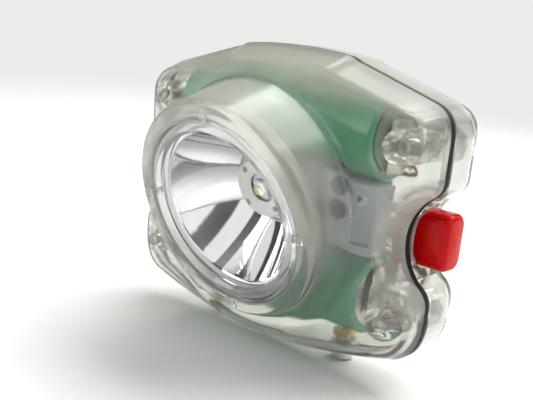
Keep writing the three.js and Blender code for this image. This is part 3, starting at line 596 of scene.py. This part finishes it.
def half_outline():
    """Evenly spaced points of the right half, from the top's middle to the bottom's middle, in x and z."""
    crown_z = TOP - CROWN_DROP
    step_z = crown_z - STEP_DROP
    mid_step = ((STEP_START + STEP_END) / 2, (crown_z + step_z) / 2)
    side_reach = math.sqrt(SCALLOP_RADIUS ** 2 - (SCALLOP_X - HALF_WIDTH) ** 2)
    lip = math.asin(side_reach / SCALLOP_RADIUS) - 0.24
    arc = [(SCALLOP_X - SCALLOP_RADIUS * math.cos(a), SCALLOP_Z + SCALLOP_RADIUS * math.sin(a))
           for a in np.linspace(lip, -lip, 60)]
    high, low = SCALLOP_Z + side_reach, SCALLOP_Z - side_reach
    points = [(0, TOP)]
    points += quadratic((0, TOP), (STEP_START / 2, TOP), (STEP_START, crown_z))
    points += quadratic((STEP_START, crown_z), (STEP_START + 1.1, crown_z - 0.15), mid_step)
    points += quadratic(mid_step, (STEP_END - 1, step_z + 0.15), (STEP_END, step_z))
    points += quadratic((STEP_END, step_z), (26, (step_z + 27.2) / 2), (34.5, 27.2))
    points += quadratic((34.5, 27.2), (HALF_WIDTH, 25.9), (HALF_WIDTH, 20.5))
    points.append((HALF_WIDTH, high + 2.4))
    points += quadratic((HALF_WIDTH, high + 2.4), (HALF_WIDTH, high), arc[0])
    points += arc
    points += quadratic(arc[-1], (HALF_WIDTH, low), (HALF_WIDTH, low - 2.4))
    points.append((HALF_WIDTH, -14.5))
    points += quadratic((HALF_WIDTH, -14.5), (HALF_WIDTH, -23.3), (32.5, -24.9))
    points += quadratic((32.5, -24.9), (16, BOTTOM + 0.4), (0, BOTTOM))
    points = np.array([tuple(p) for p in points], float)
    travel = np.concatenate([[0], np.cumsum(np.linalg.norm(np.diff(points, axis=0), axis=1))])
    even = np.linspace(0, travel[-1], COLUMNS // 2 + 1)
    return np.stack([np.interp(even, travel, points[:, k]) for k in (0, 1)], axis=1)


class Outline:
    """The housing's outline as columns: radius, angle, height, and how far a radial step outruns a normal."""

    def __init__(self):
        half = half_outline()
        mirrored = half[1:-1][::-1] * (-1, 1)
        points = np.concatenate([half, mirrored])
        along = np.roll(points, -1, axis=0) - np.roll(points, 1, axis=0)
        along /= np.linalg.norm(along, axis=1)[:, None]
        self.radius = np.linalg.norm(points, axis=1)
        outward = points / self.radius[:, None]
        facing = np.abs(along[:, 0] * outward[:, 1] - along[:, 1] * outward[:, 0])
        self.slant = 1 / np.maximum(facing, 0.62)
        self.z = points[:, 1]
        self.cos, self.sin = outward[:, 0], outward[:, 1]
        self.shoulder_inset = 2.1 + 1.5 * smoothstep(self.z, 21, 31)
        self.shoulder_y = -7.5 - 0.02 * self.z

    def ring(self, radius, y):
        """A row of points at a distance from the middle, y from the seam plane."""
        y = np.broadcast_to(y, self.cos.shape)
        return np.stack([radius * self.cos, SEAM_Y + y, radius * self.sin], axis=1)

    def bezel_ring(self, radius, offset):
        """A row on a circle about the beam's axis."""
        local = np.stack([radius * self.cos, np.full_like(self.cos, offset), radius * self.sin], axis=1)
        return local @ np.array(OPTICS.to_3x3()).T + np.array(OPTICS.translation)

    def base_y(self, radius):
        return -BASE_FORWARD - math.tan(BASE_TILT) * radius * self.sin


def smoothstep(value, low, high):
    t = np.clip((value - low) / (high - low), 0, 1)
    return t * t * (3 - 2 * t)


def corner_rows(before, corner, after, reach, steps):
    """Rows that round off the corner row between two others."""
    ends = []
    for near in (before, after):
        gap = np.linalg.norm(near - corner, axis=1)[:, None]
        ends.append(corner + (near - corner) * np.minimum(reach / gap, 1))
    return [ends[0] * (1 - t) ** 2 + corner * 2 * t * (1 - t) + ends[1] * t ** 2
            for t in np.linspace(0, 1, steps + 1)]


def front_outer_rows(o):
    seam = o.ring(o.radius, -0.8)
    shoulder = o.ring(o.radius - o.shoulder_inset, o.shoulder_y)
    base = o.ring(BASE_RADIUS, o.base_y(BASE_RADIUS))
    rim = o.bezel_ring(RIM_RADIUS, 0.9)
    rows = [o.ring(o.radius - 0.25, -0.8), o.ring(o.radius, -1.05)]
    rows += corner_rows(seam, shoulder, base, 2.4, 8)
    rows += corner_rows(shoulder, base, rim, 1.2, 8)
    rows += [rows[-1] * (1 - t) + rim * t for t in (0.3, 0.6, 0.85)]
    rows += corner_rows(rim, o.bezel_ring(RIM_RADIUS - 0.1, -0.8), o.bezel_ring(22, -0.8), 1.3, 8)
    return rows


def add_front_shell():
    o = outline
    outer = front_outer_rows(o)
    inner_radius = o.radius - WALL * o.slant
    shoulder = o.ring(inner_radius - o.shoulder_inset + 1.3, o.shoulder_y + 1.6)
    seam = o.ring(inner_radius, -0.8)
    base = o.ring(BASE_RADIUS - WALL, o.base_y(BASE_RADIUS) + 1.8)
    back = LEDGE_OFFSET + LEDGE_THICKNESS
    throat = o.bezel_ring(21.2, back)
    inner = [o.bezel_ring(BORE_RADIUS + 0.3, -0.8), o.bezel_ring(BORE_RADIUS, -0.5),
             o.bezel_ring(BORE_RADIUS, LEDGE_OFFSET), o.bezel_ring(LEDGE_RADIUS, LEDGE_OFFSET),
             o.bezel_ring(LEDGE_RADIUS, back), throat]
    inner += corner_rows(throat, base, shoulder, 1.2, 6)
    inner += corner_rows(base, shoulder, seam, 1.6, 6)
    inner.append(seam)
    shell = lofted("front_shell", outer + inner, "shell", wrap_rows=True)

    full = outer + [o.bezel_ring(1, -0.8)]
    bosses = []
    for x, z in SCREWS:
        boss = rod("boss", "y", BOSS_RADIUS, SEAM_Y - 20, SEAM_Y - 0.8, (x, 0, z), "shell", 64)
        bosses.append(combined(boss, [lofted("full_front", full, "shell")], "INTERSECT"))
    combined(shell, bosses, "UNION")
    holes = [rod("hole", "y", SCREW_RADIUS + 0.3, SCREW_TIP_Y - 0.3, SEAM_Y + 1, (x, 0, z), "shell")
             for x, z in SCREWS]
    recesses = lug_blocks(2.4, RIM_RADIUS - 4.4, RIM_RADIUS - 1.3, -2, -0.35)
    combined(shell, holes + recesses, "DIFFERENCE")
    stands_for(shell, "front_housing")


def lug_blocks(width, inner, outer, front, back):
    """Four small blocks at the quarters of the bezel."""
    return [block("lug", (inner, front, -width / 2), (outer, back, width / 2), "clear",
                  OPTICS @ Matrix.Rotation(quarter * math.pi / 2, 4, "Y")) for quarter in range(4)]


def add_rear_shell():
    o = outline
    seam = o.ring(o.radius, 0.8)
    depth = BACK_Y - SEAM_Y
    corner = o.ring(o.radius - 0.2, depth)
    back = o.ring(o.radius / 2, depth)
    rows = [o.ring(o.radius - 0.25, 0.8), o.ring(o.radius, 1.05)]
    rows += corner_rows(seam, corner, back, 4.4, 12)
    inner_radius = o.radius - WALL * o.slant
    pocket = corner_rows(o.ring(inner_radius, 0.8), o.ring(inner_radius, depth - 2), o.ring(2, depth - 2), 1.4, 6)
    shell = lofted("rear_shell", rows, "shell")
    full = lofted("full_rear", rows, "shell")
    cavity = lofted("cavity", [o.ring(inner_radius, -1)] + pocket, "shell")
    combined(shell, [cavity], "DIFFERENCE")

    button_z = middle_mm("push_button")[2]
    seal_x = box_mm("button_seal")[0][0]
    seat_low = (seal_x + 0.8, SEAM_Y + 0.8, button_z - 8.6)
    seat = block("seat", seat_low, (HALF_WIDTH, BACK_Y - 1, button_z + 8.6), "shell")
    extras = [seat]
    extras += [rod("boss", "y", BOSS_RADIUS, SEAM_Y + 0.8, BACK_Y - 0.5, (x, 0, z), "shell", 64)
               for x, z in SCREWS]
    extras += [rod("boss", "y", 3.2, SEAM_Y + 6.9, BACK_Y - 0.5, (x, 0, z), "shell", 64)
               for x, z in HOOK_SCREWS]
    for extra in extras:
        keep = full.copy()
        keep.data = full.data.copy()
        bpy.context.scene.collection.objects.link(keep)
        combined(extra, [keep], "INTERSECT")
    combined(shell, extras, "UNION")
    bpy.data.objects.remove(full)

    button_low, button_high = box_mm("push_button")
    button_y = (button_low[1] + button_high[1]) / 2
    hole = rounded_rectangle(BUTTON_WIDTH + 0.6, BUTTON_HEIGHT + 0.6, 2.2, (button_y, button_z))
    cuts = [prism("hole", hole, "x", 25, HALF_WIDTH + 5, "shell")]
    for x, z in SCREWS:
        cuts.append(rod("hole", "y", SCREW_RADIUS + 0.3, SEAM_Y - 1, BACK_Y + 1, (x, 0, z), "shell"))
        cuts.append(rod("hole", "y", 2.7, BACK_Y - 3, BACK_Y + 1, (x, 0, z), "shell"))
    for x, z in HOOK_SCREWS:
        cuts.append(rod("hole", "y", 1.3, SEAM_Y + 5, BACK_Y + 1, (x, 0, z), "shell"))
        cuts.append(rod("hole", "y", 2.3, SEAM_Y + 5, BACK_Y - 2, (x, 0, z), "shell"))
    for x, y in STUDS:
        cuts.append(rod("hole", "z", 1.5, BOTTOM - 3, BOTTOM + 8, (x, y, 0), "shell"))
        cuts.append(rod("hole", "z", 3.0, BOTTOM - 3, STUD_SEAT_Z, (x, y, 0), "shell"))
    combined(shell, cuts, "DIFFERENCE")
    stands_for(shell, "rear_housing")


def add_gasket():
    o = outline
    outer = o.radius - 0.06
    inner = o.radius - (WALL - 0.2) * o.slant
    half = 0.76
    corners = [(outer, -half), (outer, half), (inner, half), (inner, -half)]
    rows = []
    for i, (radius, y) in enumerate(corners):
        near = [o.ring(*corners[i - 1]), o.ring(*corners[(i + 1) % 4])]
        rows += corner_rows(near[0], o.ring(radius, y), near[1], 0.25, 4)
    gasket = lofted("seam_gasket", rows, "rubber", wrap_rows=True, sharp=60)
    stands_for(gasket, "housing_gasket")


def stands_for(piece, node, body="housing"):
    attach(piece, body)
    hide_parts(node)


# ---------------------------------------------------------------- window, bowl and light engine


def add_window():
    ring = rounded([(17.2, -0.2), (17.9, -1.1), (19.9, -1.1), (20.3, -0.7), (20.3, 1.9), (19.4, 1.9), (19.4, 0.1),
                    (17.2, 0.1)], 0.25, 3)
    bezel = turned("clear_bezel", ring, "clear", sides=180, closed=True, placed=OPTICS)
    combined(bezel, lug_blocks(1.8, RIM_RADIUS - 4.2, RIM_RADIUS - 1.6, -1.1, -0.65), "UNION")
    stands_for(bezel, "bezel_ring")

    disc = [(18.95, 0.4), (19.1, 0.55), (19.1, 1.55), (18.95, 1.7)]
    window = turned("window_disc", disc, "window", sides=180, placed=OPTICS)
    stands_for(window, "window")

    seal = turned("window_ring_seal", rounded([(19.4, 2.2), (20.3, 2.2), (20.3, 3), (19.4, 3)], 0.2, 3), "rubber",
                  sides=144, closed=True, placed=OPTICS)
    stands_for(seal, "window_seal")


def bowl_radius(offset):
    share = (THROAT_OFFSET - offset) / (THROAT_OFFSET - MOUTH_OFFSET)
    return math.sqrt(THROAT_RADIUS ** 2 + share * (MOUTH_RADIUS ** 2 - THROAT_RADIUS ** 2))


def add_bowl():
    offsets = np.linspace(THROAT_OFFSET, MOUTH_OFFSET + 0.15, 48)
    inside = [(bowl_radius(offset), offset) for offset in offsets]
    lip = [(bowl_radius(MOUTH_OFFSET) + 0.15, MOUTH_OFFSET), (18.95, MOUTH_OFFSET), (19.1, MOUTH_OFFSET + 0.15),
           (19.1, MOUTH_OFFSET + 0.85), (18.95, MOUTH_OFFSET + 1)]
    outside = [(bowl_radius(offset) + BOWL_WALL, offset)
               for offset in np.linspace(MOUTH_OFFSET + 1, THROAT_OFFSET, 32)]
    bowl = turned("reflector_bowl", inside + lip + outside, "chrome", sides=240, closed=True, placed=OPTICS)
    stands_for(bowl, "reflector")


def add_light_engine():
    section = rounded([(3.2, 12.9), (4.6, 12.3), (6.2, 12.3), (6.6, 12.6), (6.6, 13.1), (3.2, 13.1)], 0.2, 3)
    ring = turned("led_ring", section, "white", sides=120, closed=True, placed=OPTICS)
    notches = []
    for quarter in range(4):
        angle = math.pi / 4 + quarter * math.pi / 2
        place = (5.4 * math.cos(angle), 0, 5.4 * math.sin(angle))
        notches.append(in_place(rod("notch", "y", 0.7, 11, 14, place, "white", 32), OPTICS))
    combined(ring, notches, "DIFFERENCE")
    stands_for(ring, "led_spacer_ring")

    base = prism("led_base", rounded_rectangle(3.5, 3.5, 0.2), "y", LED_OFFSET + 0.12, 13.1, "ceramic", OPTICS)
    stands_for(bevelled(base, 0.06), "main_led")
    die = prism("led_phosphor_square", rounded_rectangle(2.1, 2.1, 0.15), "y", LED_OFFSET, LED_OFFSET + 0.12,
                "phosphor", OPTICS)
    stands_for(bevelled(die, 0.03), "main_led")
    arc = np.linspace(0.02, math.pi / 2, 20)
    dome_profile = [(1.35 * math.sin(a), LED_OFFSET - 0.01 - 1.33 * math.cos(a)) for a in arc]
    dome = turned("led_dome", dome_profile, "dome", sides=72, placed=OPTICS)
    stands_for(dome, "main_led")


# ---------------------------------------------------------------- cells


def add_cells():
    for name, flip in (("upper", 1), ("lower", -1)):
        low, high = box_mm(f"{name}_cell_wrap")
        centre = (low + high) / 2
        half = (high[0] - low[0]) / 2 + 0.3
        radius = (high[2] - low[2]) / 2
        mid = centre[0] + flip * 0.3
        start, end = -half, half - 0.6
        film = 0.25
        sleeve = [(radius - 0.35, start), (radius, start + 0.35)]
        sleeve += [(radius - 0.06 * math.exp(-(t / 0.05) ** 2), start + 0.4 + t * (end - start - 0.8))
                   for t in np.linspace(0, 1, 30)]
        sleeve += [(radius, end - 0.35), (radius - 0.35, end), (7.0, end), (7.0, end - 0.2),
                   (radius - 0.4, end - 0.2), (radius - film, end - 0.5), (radius - film, start + 0.45),
                   (radius - 0.45, start + 0.2), (6.6, start + 0.2), (6.6, start)]
        turn = Matrix.Rotation(0 if flip > 0 else math.pi, 4, "Z")
        place = Matrix.Translation((mid, centre[1], centre[2])) @ turn
        wrap = turned(f"{name}_sleeve", sleeve, "cell", "x", sides=128, closed=True, placed=place)
        stands_for(wrap, f"{name}_cell_wrap")

        body_radius, groove = radius - 0.55, half - 4.2
        can = rounded([(0.05, start + 0.5), (body_radius, start + 0.5), (body_radius, groove - 0.5),
                       (7.4, groove - 0.2), (7.4, groove + 0.2), (body_radius, groove + 0.5),
                       (body_radius, half - 1.1), (2.8, half - 1.1), (2.8, half - 0.1), (0.05, half - 0.1)],
                      0.3, 3, closed=False)
        can_piece = turned(f"{name}_can", can, "can", "x", sides=96, placed=place)
        stands_for(can_piece, f"{name}_cell")


# ---------------------------------------------------------------- push button


def add_button():
    """A glossy cap with a crowned face, and a flange that holds it in."""
    low, high = box_mm("push_button")
    y, z = (low[1] + high[1]) / 2, (low[2] + high[2]) / 2
    width, height = BUTTON_WIDTH, BUTTON_HEIGHT
    face_x, flange_x = high[0], box_mm("button_seal")[0][0] - 0.3
    levels = [(low[0], width + 0.8, height + 3), (low[0] + 0.2, width + 0.8, height + 3),
              (flange_x, width + 0.8, height + 3), (flange_x + 0.01, width, height)]
    levels.append((face_x - 2.2, width, height))
    crown = 1.7
    for t in np.linspace(0, 1, 14)[1:]:
        angle = t * math.pi / 2
        shrink = crown * (1 - math.cos(angle)) * 1.15
        levels.append((face_x - 1.7 + crown * math.sin(angle) * 0.86, width - shrink, height - shrink))
    for t in np.linspace(0, 1, 10)[1:]:
        levels.append((face_x - 0.24 + 0.24 * math.sin(t * math.pi / 2), (width - 1.95) * (1 - t) + 0.05,
                       (height - 1.95) * (1 - t) + 0.05))
    rows = []
    for x, across, tall in levels:
        shape = rounded_rectangle(across, tall, min(2.0, across * 0.42), (y, z), 8)
        rows.append(np.array([(x, p[0], p[1]) for p in shape]))
    cap = lofted("red_button", rows, "red", sharp=50)
    stands_for(cap, "push_button", "button")

    low, high = box_mm("button_seal")
    outer = rounded_rectangle(width + 1, height + 3, 2.2, (y, z), 10)
    inner = rounded_rectangle(width + 0.3, height + 0.4, 2.1, (y, z), 10)
    section = ((low[0], outer), (high[0], outer), (high[0], inner), (low[0], inner))
    rows = [[(x, *p) for p in shape] for x, shape in section]
    seal = lofted("button_ring_seal", rows, "rubber", wrap_rows=True)
    stands_for(seal, "button_seal")


def add_spring():
    """The return spring behind the button."""
    low, high = box_mm("button_spring")
    middle = (low + high) / 2
    wire, turns, sides = 0.28, 3.5, 12
    coil = (high[1] - low[1]) / 2 - wire
    run = high[0] - low[0] - 2 * wire
    rows = []
    for t in np.linspace(0, 1, int(turns * 32) + 1):
        angle = 2 * math.pi * turns * t
        outward = np.array((0, math.cos(angle), math.sin(angle)))
        tangent = np.array((run / (2 * math.pi * turns * coil), -math.sin(angle), math.cos(angle)))
        side = np.cross(outward, tangent / np.linalg.norm(tangent))
        centre = np.array((low[0] + wire + run * t, middle[1], middle[2])) + coil * outward
        rows.append([centre + wire * (math.cos(a) * outward + math.sin(a) * side)
                     for a in np.arange(sides) * 2 * math.pi / sides])
    spring = lofted("coil_spring", rows, "spring", sharp=60)
    stands_for(spring, "button_spring")
    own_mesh(spring)


# ---------------------------------------------------------------- fasteners, studs and hook


def threaded_rows(radius, depth, pitch, start, end, sides=32, steps_per_turn=8):
    """Rows of a helical thread along y: its crest runs round as it climbs."""
    count = max(2, int((end - start) / pitch * steps_per_turn))
    angles = np.arange(sides) * 2 * math.pi / sides
    rows = []
    for level in np.linspace(start, end, count + 1):
        phase = (level / pitch + angles / (2 * math.pi)) % 1
        r = radius - depth * np.abs(phase * 2 - 1)
        rows.append(np.stack([r * np.cos(angles), np.full(sides, level), r * np.sin(angles)], axis=1))
    return rows


def screw(name, at, head_radius, head_start, head_end, shank_radius, tip):
    """A pan-head screw along y with a cross recess and a rolled thread."""
    dome = [(shank_radius, head_start), (head_radius - 0.15, head_start), (head_radius, head_start + 0.15),
            (head_radius, head_end - 0.6)]
    dome += [(head_radius * math.cos(a) * 0.98, head_end - 0.6 + 0.6 * math.sin(a))
             for a in np.linspace(0.2, 1.35, 8)]
    head = turned("head", dome, "steel", sides=64)
    thread = threaded_rows(shank_radius, 0.22, 0.9, tip + 0.6, head_start + 0.15)
    point = [row * (0.55, 1, 0.55) - (0, 0.6, 0) for row in thread[:1]]
    combined(head, [lofted("thread", point + thread, "steel", sharp=25)], "UNION")
    reach, slot = head_radius * 0.58, 0.28
    depth = (head_end - 0.7, head_end + 1)
    cross = [block("cross", (-reach, depth[0], -slot), (reach, depth[1], slot), "steel"),
             block("cross", (-slot, depth[0], -reach), (slot, depth[1], reach), "steel")]
    combined(head, cross, "DIFFERENCE")
    head.name = name
    return in_place(head, Matrix.Translation((at[0], 0, at[1])))


def add_screws():
    for i, at in enumerate(SCREWS, 1):
        low, high = box_mm(f"housing_screw_{i}")
        piece = screw(f"housing_screw_{i}_fine", at, 2.3, high[1] - 1.8, high[1], SCREW_RADIUS, low[1])
        stands_for(piece, f"housing_screw_{i}")
    for side, at in zip(("left", "right"), HOOK_SCREWS):
        low, high = box_mm(f"hook_screw_{side}")
        piece = screw(f"hook_screw_{side}_fine", at, 2.0, high[1] - 1.1, high[1], 1.0, low[1])
        stands_for(piece, f"hook_screw_{side}")


def hook_outline(low, high):
    """The strip's side outline in y and z: foot, bend, tongue and flared tip."""
    thickness, bend = 1.2, 1.7
    foot, tip = low[1], low[2]
    bend_y, bend_z = foot + thickness + bend, high[2] - bend - thickness
    tongue = bend_y + bend
    foot_z = HOOK_SCREWS[0][1] - 5.0
    inner = [(bend_y - bend * math.cos(a), bend_z + bend * math.sin(a)) for a in np.linspace(0, math.pi, 33)]
    outer_radius = bend + thickness
    outer = [(bend_y + outer_radius * math.cos(a), bend_z + outer_radius * math.sin(a))
             for a in np.linspace(0, math.pi, 33)]
    flare = tip + 3
    tail = [(tongue, flare), (tongue + 1.2, tip), (tongue + 1.2 + thickness, tip + 0.4),
            (tongue + thickness, flare + 0.3)]
    return [(foot, foot_z), (foot + thickness, foot_z)] + inner + tail + outer


def add_hook():
    low, high = box_mm("helmet_hook")
    outline_yz = hook_outline(low, high)
    strip = prism("bent_hook", outline_yz, "x", low[0], high[0], "steel", sharp=30)
    foot = low[1]
    cuts = []
    for x, z in HOOK_SCREWS:
        cuts.append(rod("hole", "y", 1.4, foot - 1, foot + 2.2, (x, 0, z)))
        cuts.append(rod("hole", "y", 2.4, foot + 3, foot + 10, (x, 0, z), sides=64))
    combined(strip, cuts, "DIFFERENCE", 30)
    bevelled(strip, 0.18, 3, 35)
    stands_for(strip, "helmet_hook")


def add_studs():
    for side, (x, y) in zip(("left", "right"), STUDS):
        low, high = box_mm(f"charging_stud_{side}")
        face = low[2]
        profile = [(0.9, face + 0.45), (1.05, face + 0.4), (1.2, face + 0.05), (1.3, face), (2.2, face),
                   (2.4, face + 0.2), (2.4, face + 1.55), (2.25, face + 1.7), (1.2, face + 1.7), (1.2, high[2])]
        stud = turned(f"contact_stud_{side}", profile, "steel", "z", (x, y, 0), 72)
        stands_for(stud, f"charging_stud_{side}")
        low, high = box_mm(f"charging_seal_{side}")
        ring = rounded([(1.5, low[2]), (2.5, low[2]), (2.5, high[2]), (1.5, high[2])], 0.2, 3)
        seal = turned(f"contact_seal_{side}", ring, "rubber", "z", (x, y, 0), 64, closed=True)
        stands_for(seal, f"charging_seal_{side}")


# ---------------------------------------------------------------- CAD pieces that stay

KEPT_FINISHES = {
    "heat_sink": "aluminium", "led_board": "aluminium", "led_board_screw_left": "steel",
    "led_board_screw_right": "steel", "led_lead_left": "red_wire", "led_lead_right": "black_wire",
    "upper_cell_insulator": "fibre", "lower_cell_insulator": "fibre", "cell_link_strip": "nickel",
    "positive_tab": "nickel", "negative_tab": "nickel", "switch_holder": "grey", "cell_spacer": "grey",
    "control_board": "board", "switch_board": "board", "driver_chip": "black", "charge_chip": "black",
    "inductor": "black", "cell_lead_positive": "red_wire", "cell_lead_negative": "black_wire",
    "charge_lead_left": "black_wire", "charge_lead_right": "red_wire", "switch_body": "black",
    "switch_plunger": "white", "hook_insert_left": "brass",
    "hook_insert_right": "brass", "charging_nut_left": "brass", "charging_nut_right": "brass",
}


def finish_kept_nodes():
    for name, finish in KEPT_FINISHES.items():
        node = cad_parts[name]
        node.data.materials.clear()
        node.data.materials.append(materials[finish])
        join = node.modifiers.new("weld", "WELD")
        join.merge_threshold = 0.001 * MM
        if "lead" in name:
            step = node.modifiers.new("round", "SUBSURF")
            step.levels = step.render_levels = 2
            node.data.shade_smooth()
        else:
            bevelled(node, 0.12, 2, 30)
            node.data.shade_smooth()
            node.data.set_sharp_from_angle(angle=math.radians(30))


# ---------------------------------------------------------------- small parts on the boards


def add_board_parts():
    """Chip resistors and capacitors with their solder joints on the control board's front face."""
    front = box_mm("control_board")[0][1]
    spots = [(-3.5, -5.2, 0), (-1.2, -5.2, 0), (1.1, -5.2, 0), (3.4, -5.2, 0), (-4.4, 2.6, 1), (-2.2, 2.6, 1),
             (3.2, 2.2, 1), (12.2, -2.0, 1), (12.2, 1.4, 1), (5.8, -5.4, 0)]
    long_half, short_half, cap = 0.8, 0.45, 0.22

    def chip_box(x, z, along, across, upright, near, far):
        """A box centred on x and z, with its half sizes along and across the chip."""
        half = (across, along) if upright else (along, across)
        return (x - half[0], front - near, z - half[1]), (x + half[0], front - far, z + half[1])

    chips, ends = [], []
    for x, z, upright in spots:
        chips.append(chip_box(x, z, long_half - cap, short_half, upright, 0.75, 0.3))
        for step in (cap / 2 - long_half, long_half - cap / 2):
            place = (x, z + step) if upright else (x + step, z)
            ends.append(chip_box(*place, cap / 2, short_half, upright, 0.78, 0.02))
    for name, boxes, finish, slot in (("chip_bodies", chips, "black", "black_plastic"),
                                      ("chip_ends", ends, "solder", "steel")):
        points, faces = [], []
        for low, high in boxes:
            start = len(points)
            points += [(x, y, z) for x in (low[0], high[0]) for y in (low[1], high[1]) for z in (low[2], high[2])]
            faces += [tuple(start + i for i in quad) for quad in
                      ((0, 1, 3, 2), (4, 6, 7, 5), (0, 4, 5, 1), (2, 3, 7, 6), (0, 2, 6, 4), (1, 5, 7, 3))]
        piece = bevelled(piece_from(name, points, faces, finish), 0.08, 2)
        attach(piece, "housing")


def add_grommets():
    """Two small rubber grommets in the grey holder's front wall."""
    front = box_mm("switch_holder")[0][1] + 0.8
    for name, z in (("upper", 7.8), ("lower", 3.2)):
        lip = rounded([(1.9, front + 0.02), (1.9, front - 0.9), (0.9, front - 0.9), (0.9, front - 0.3),
                       (0.02, front - 0.4)], 0.3, 4, closed=False)
        grommet = turned(f"{name}_wire_grommet", lip, "rubber", "y", (17.3, 0, z), 64)
        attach(grommet, "housing")


materials = make_materials()
outline = Outline()

add_camera()
add_world()
add_floor()
add_softbox("top_softbox", (0.03, 0.30, 0.52), (0.7, 0.4), 5.6)
add_softbox("front_softbox", (-0.42, -0.55, 0.30), (0.35, 0.5), 2.0)
add_softbox("side_softbox", (0.62, -0.10, 0.22), (0.2, 0.5), 1.2)

add_front_shell()
add_rear_shell()
add_gasket()
add_window()
add_bowl()
add_light_engine()
add_cells()
add_button()
add_spring()
add_screws()
add_hook()
add_studs()
finish_kept_nodes()
add_board_parts()
add_grommets()

bpy.context.scene.view_settings.view_transform = "Standard"
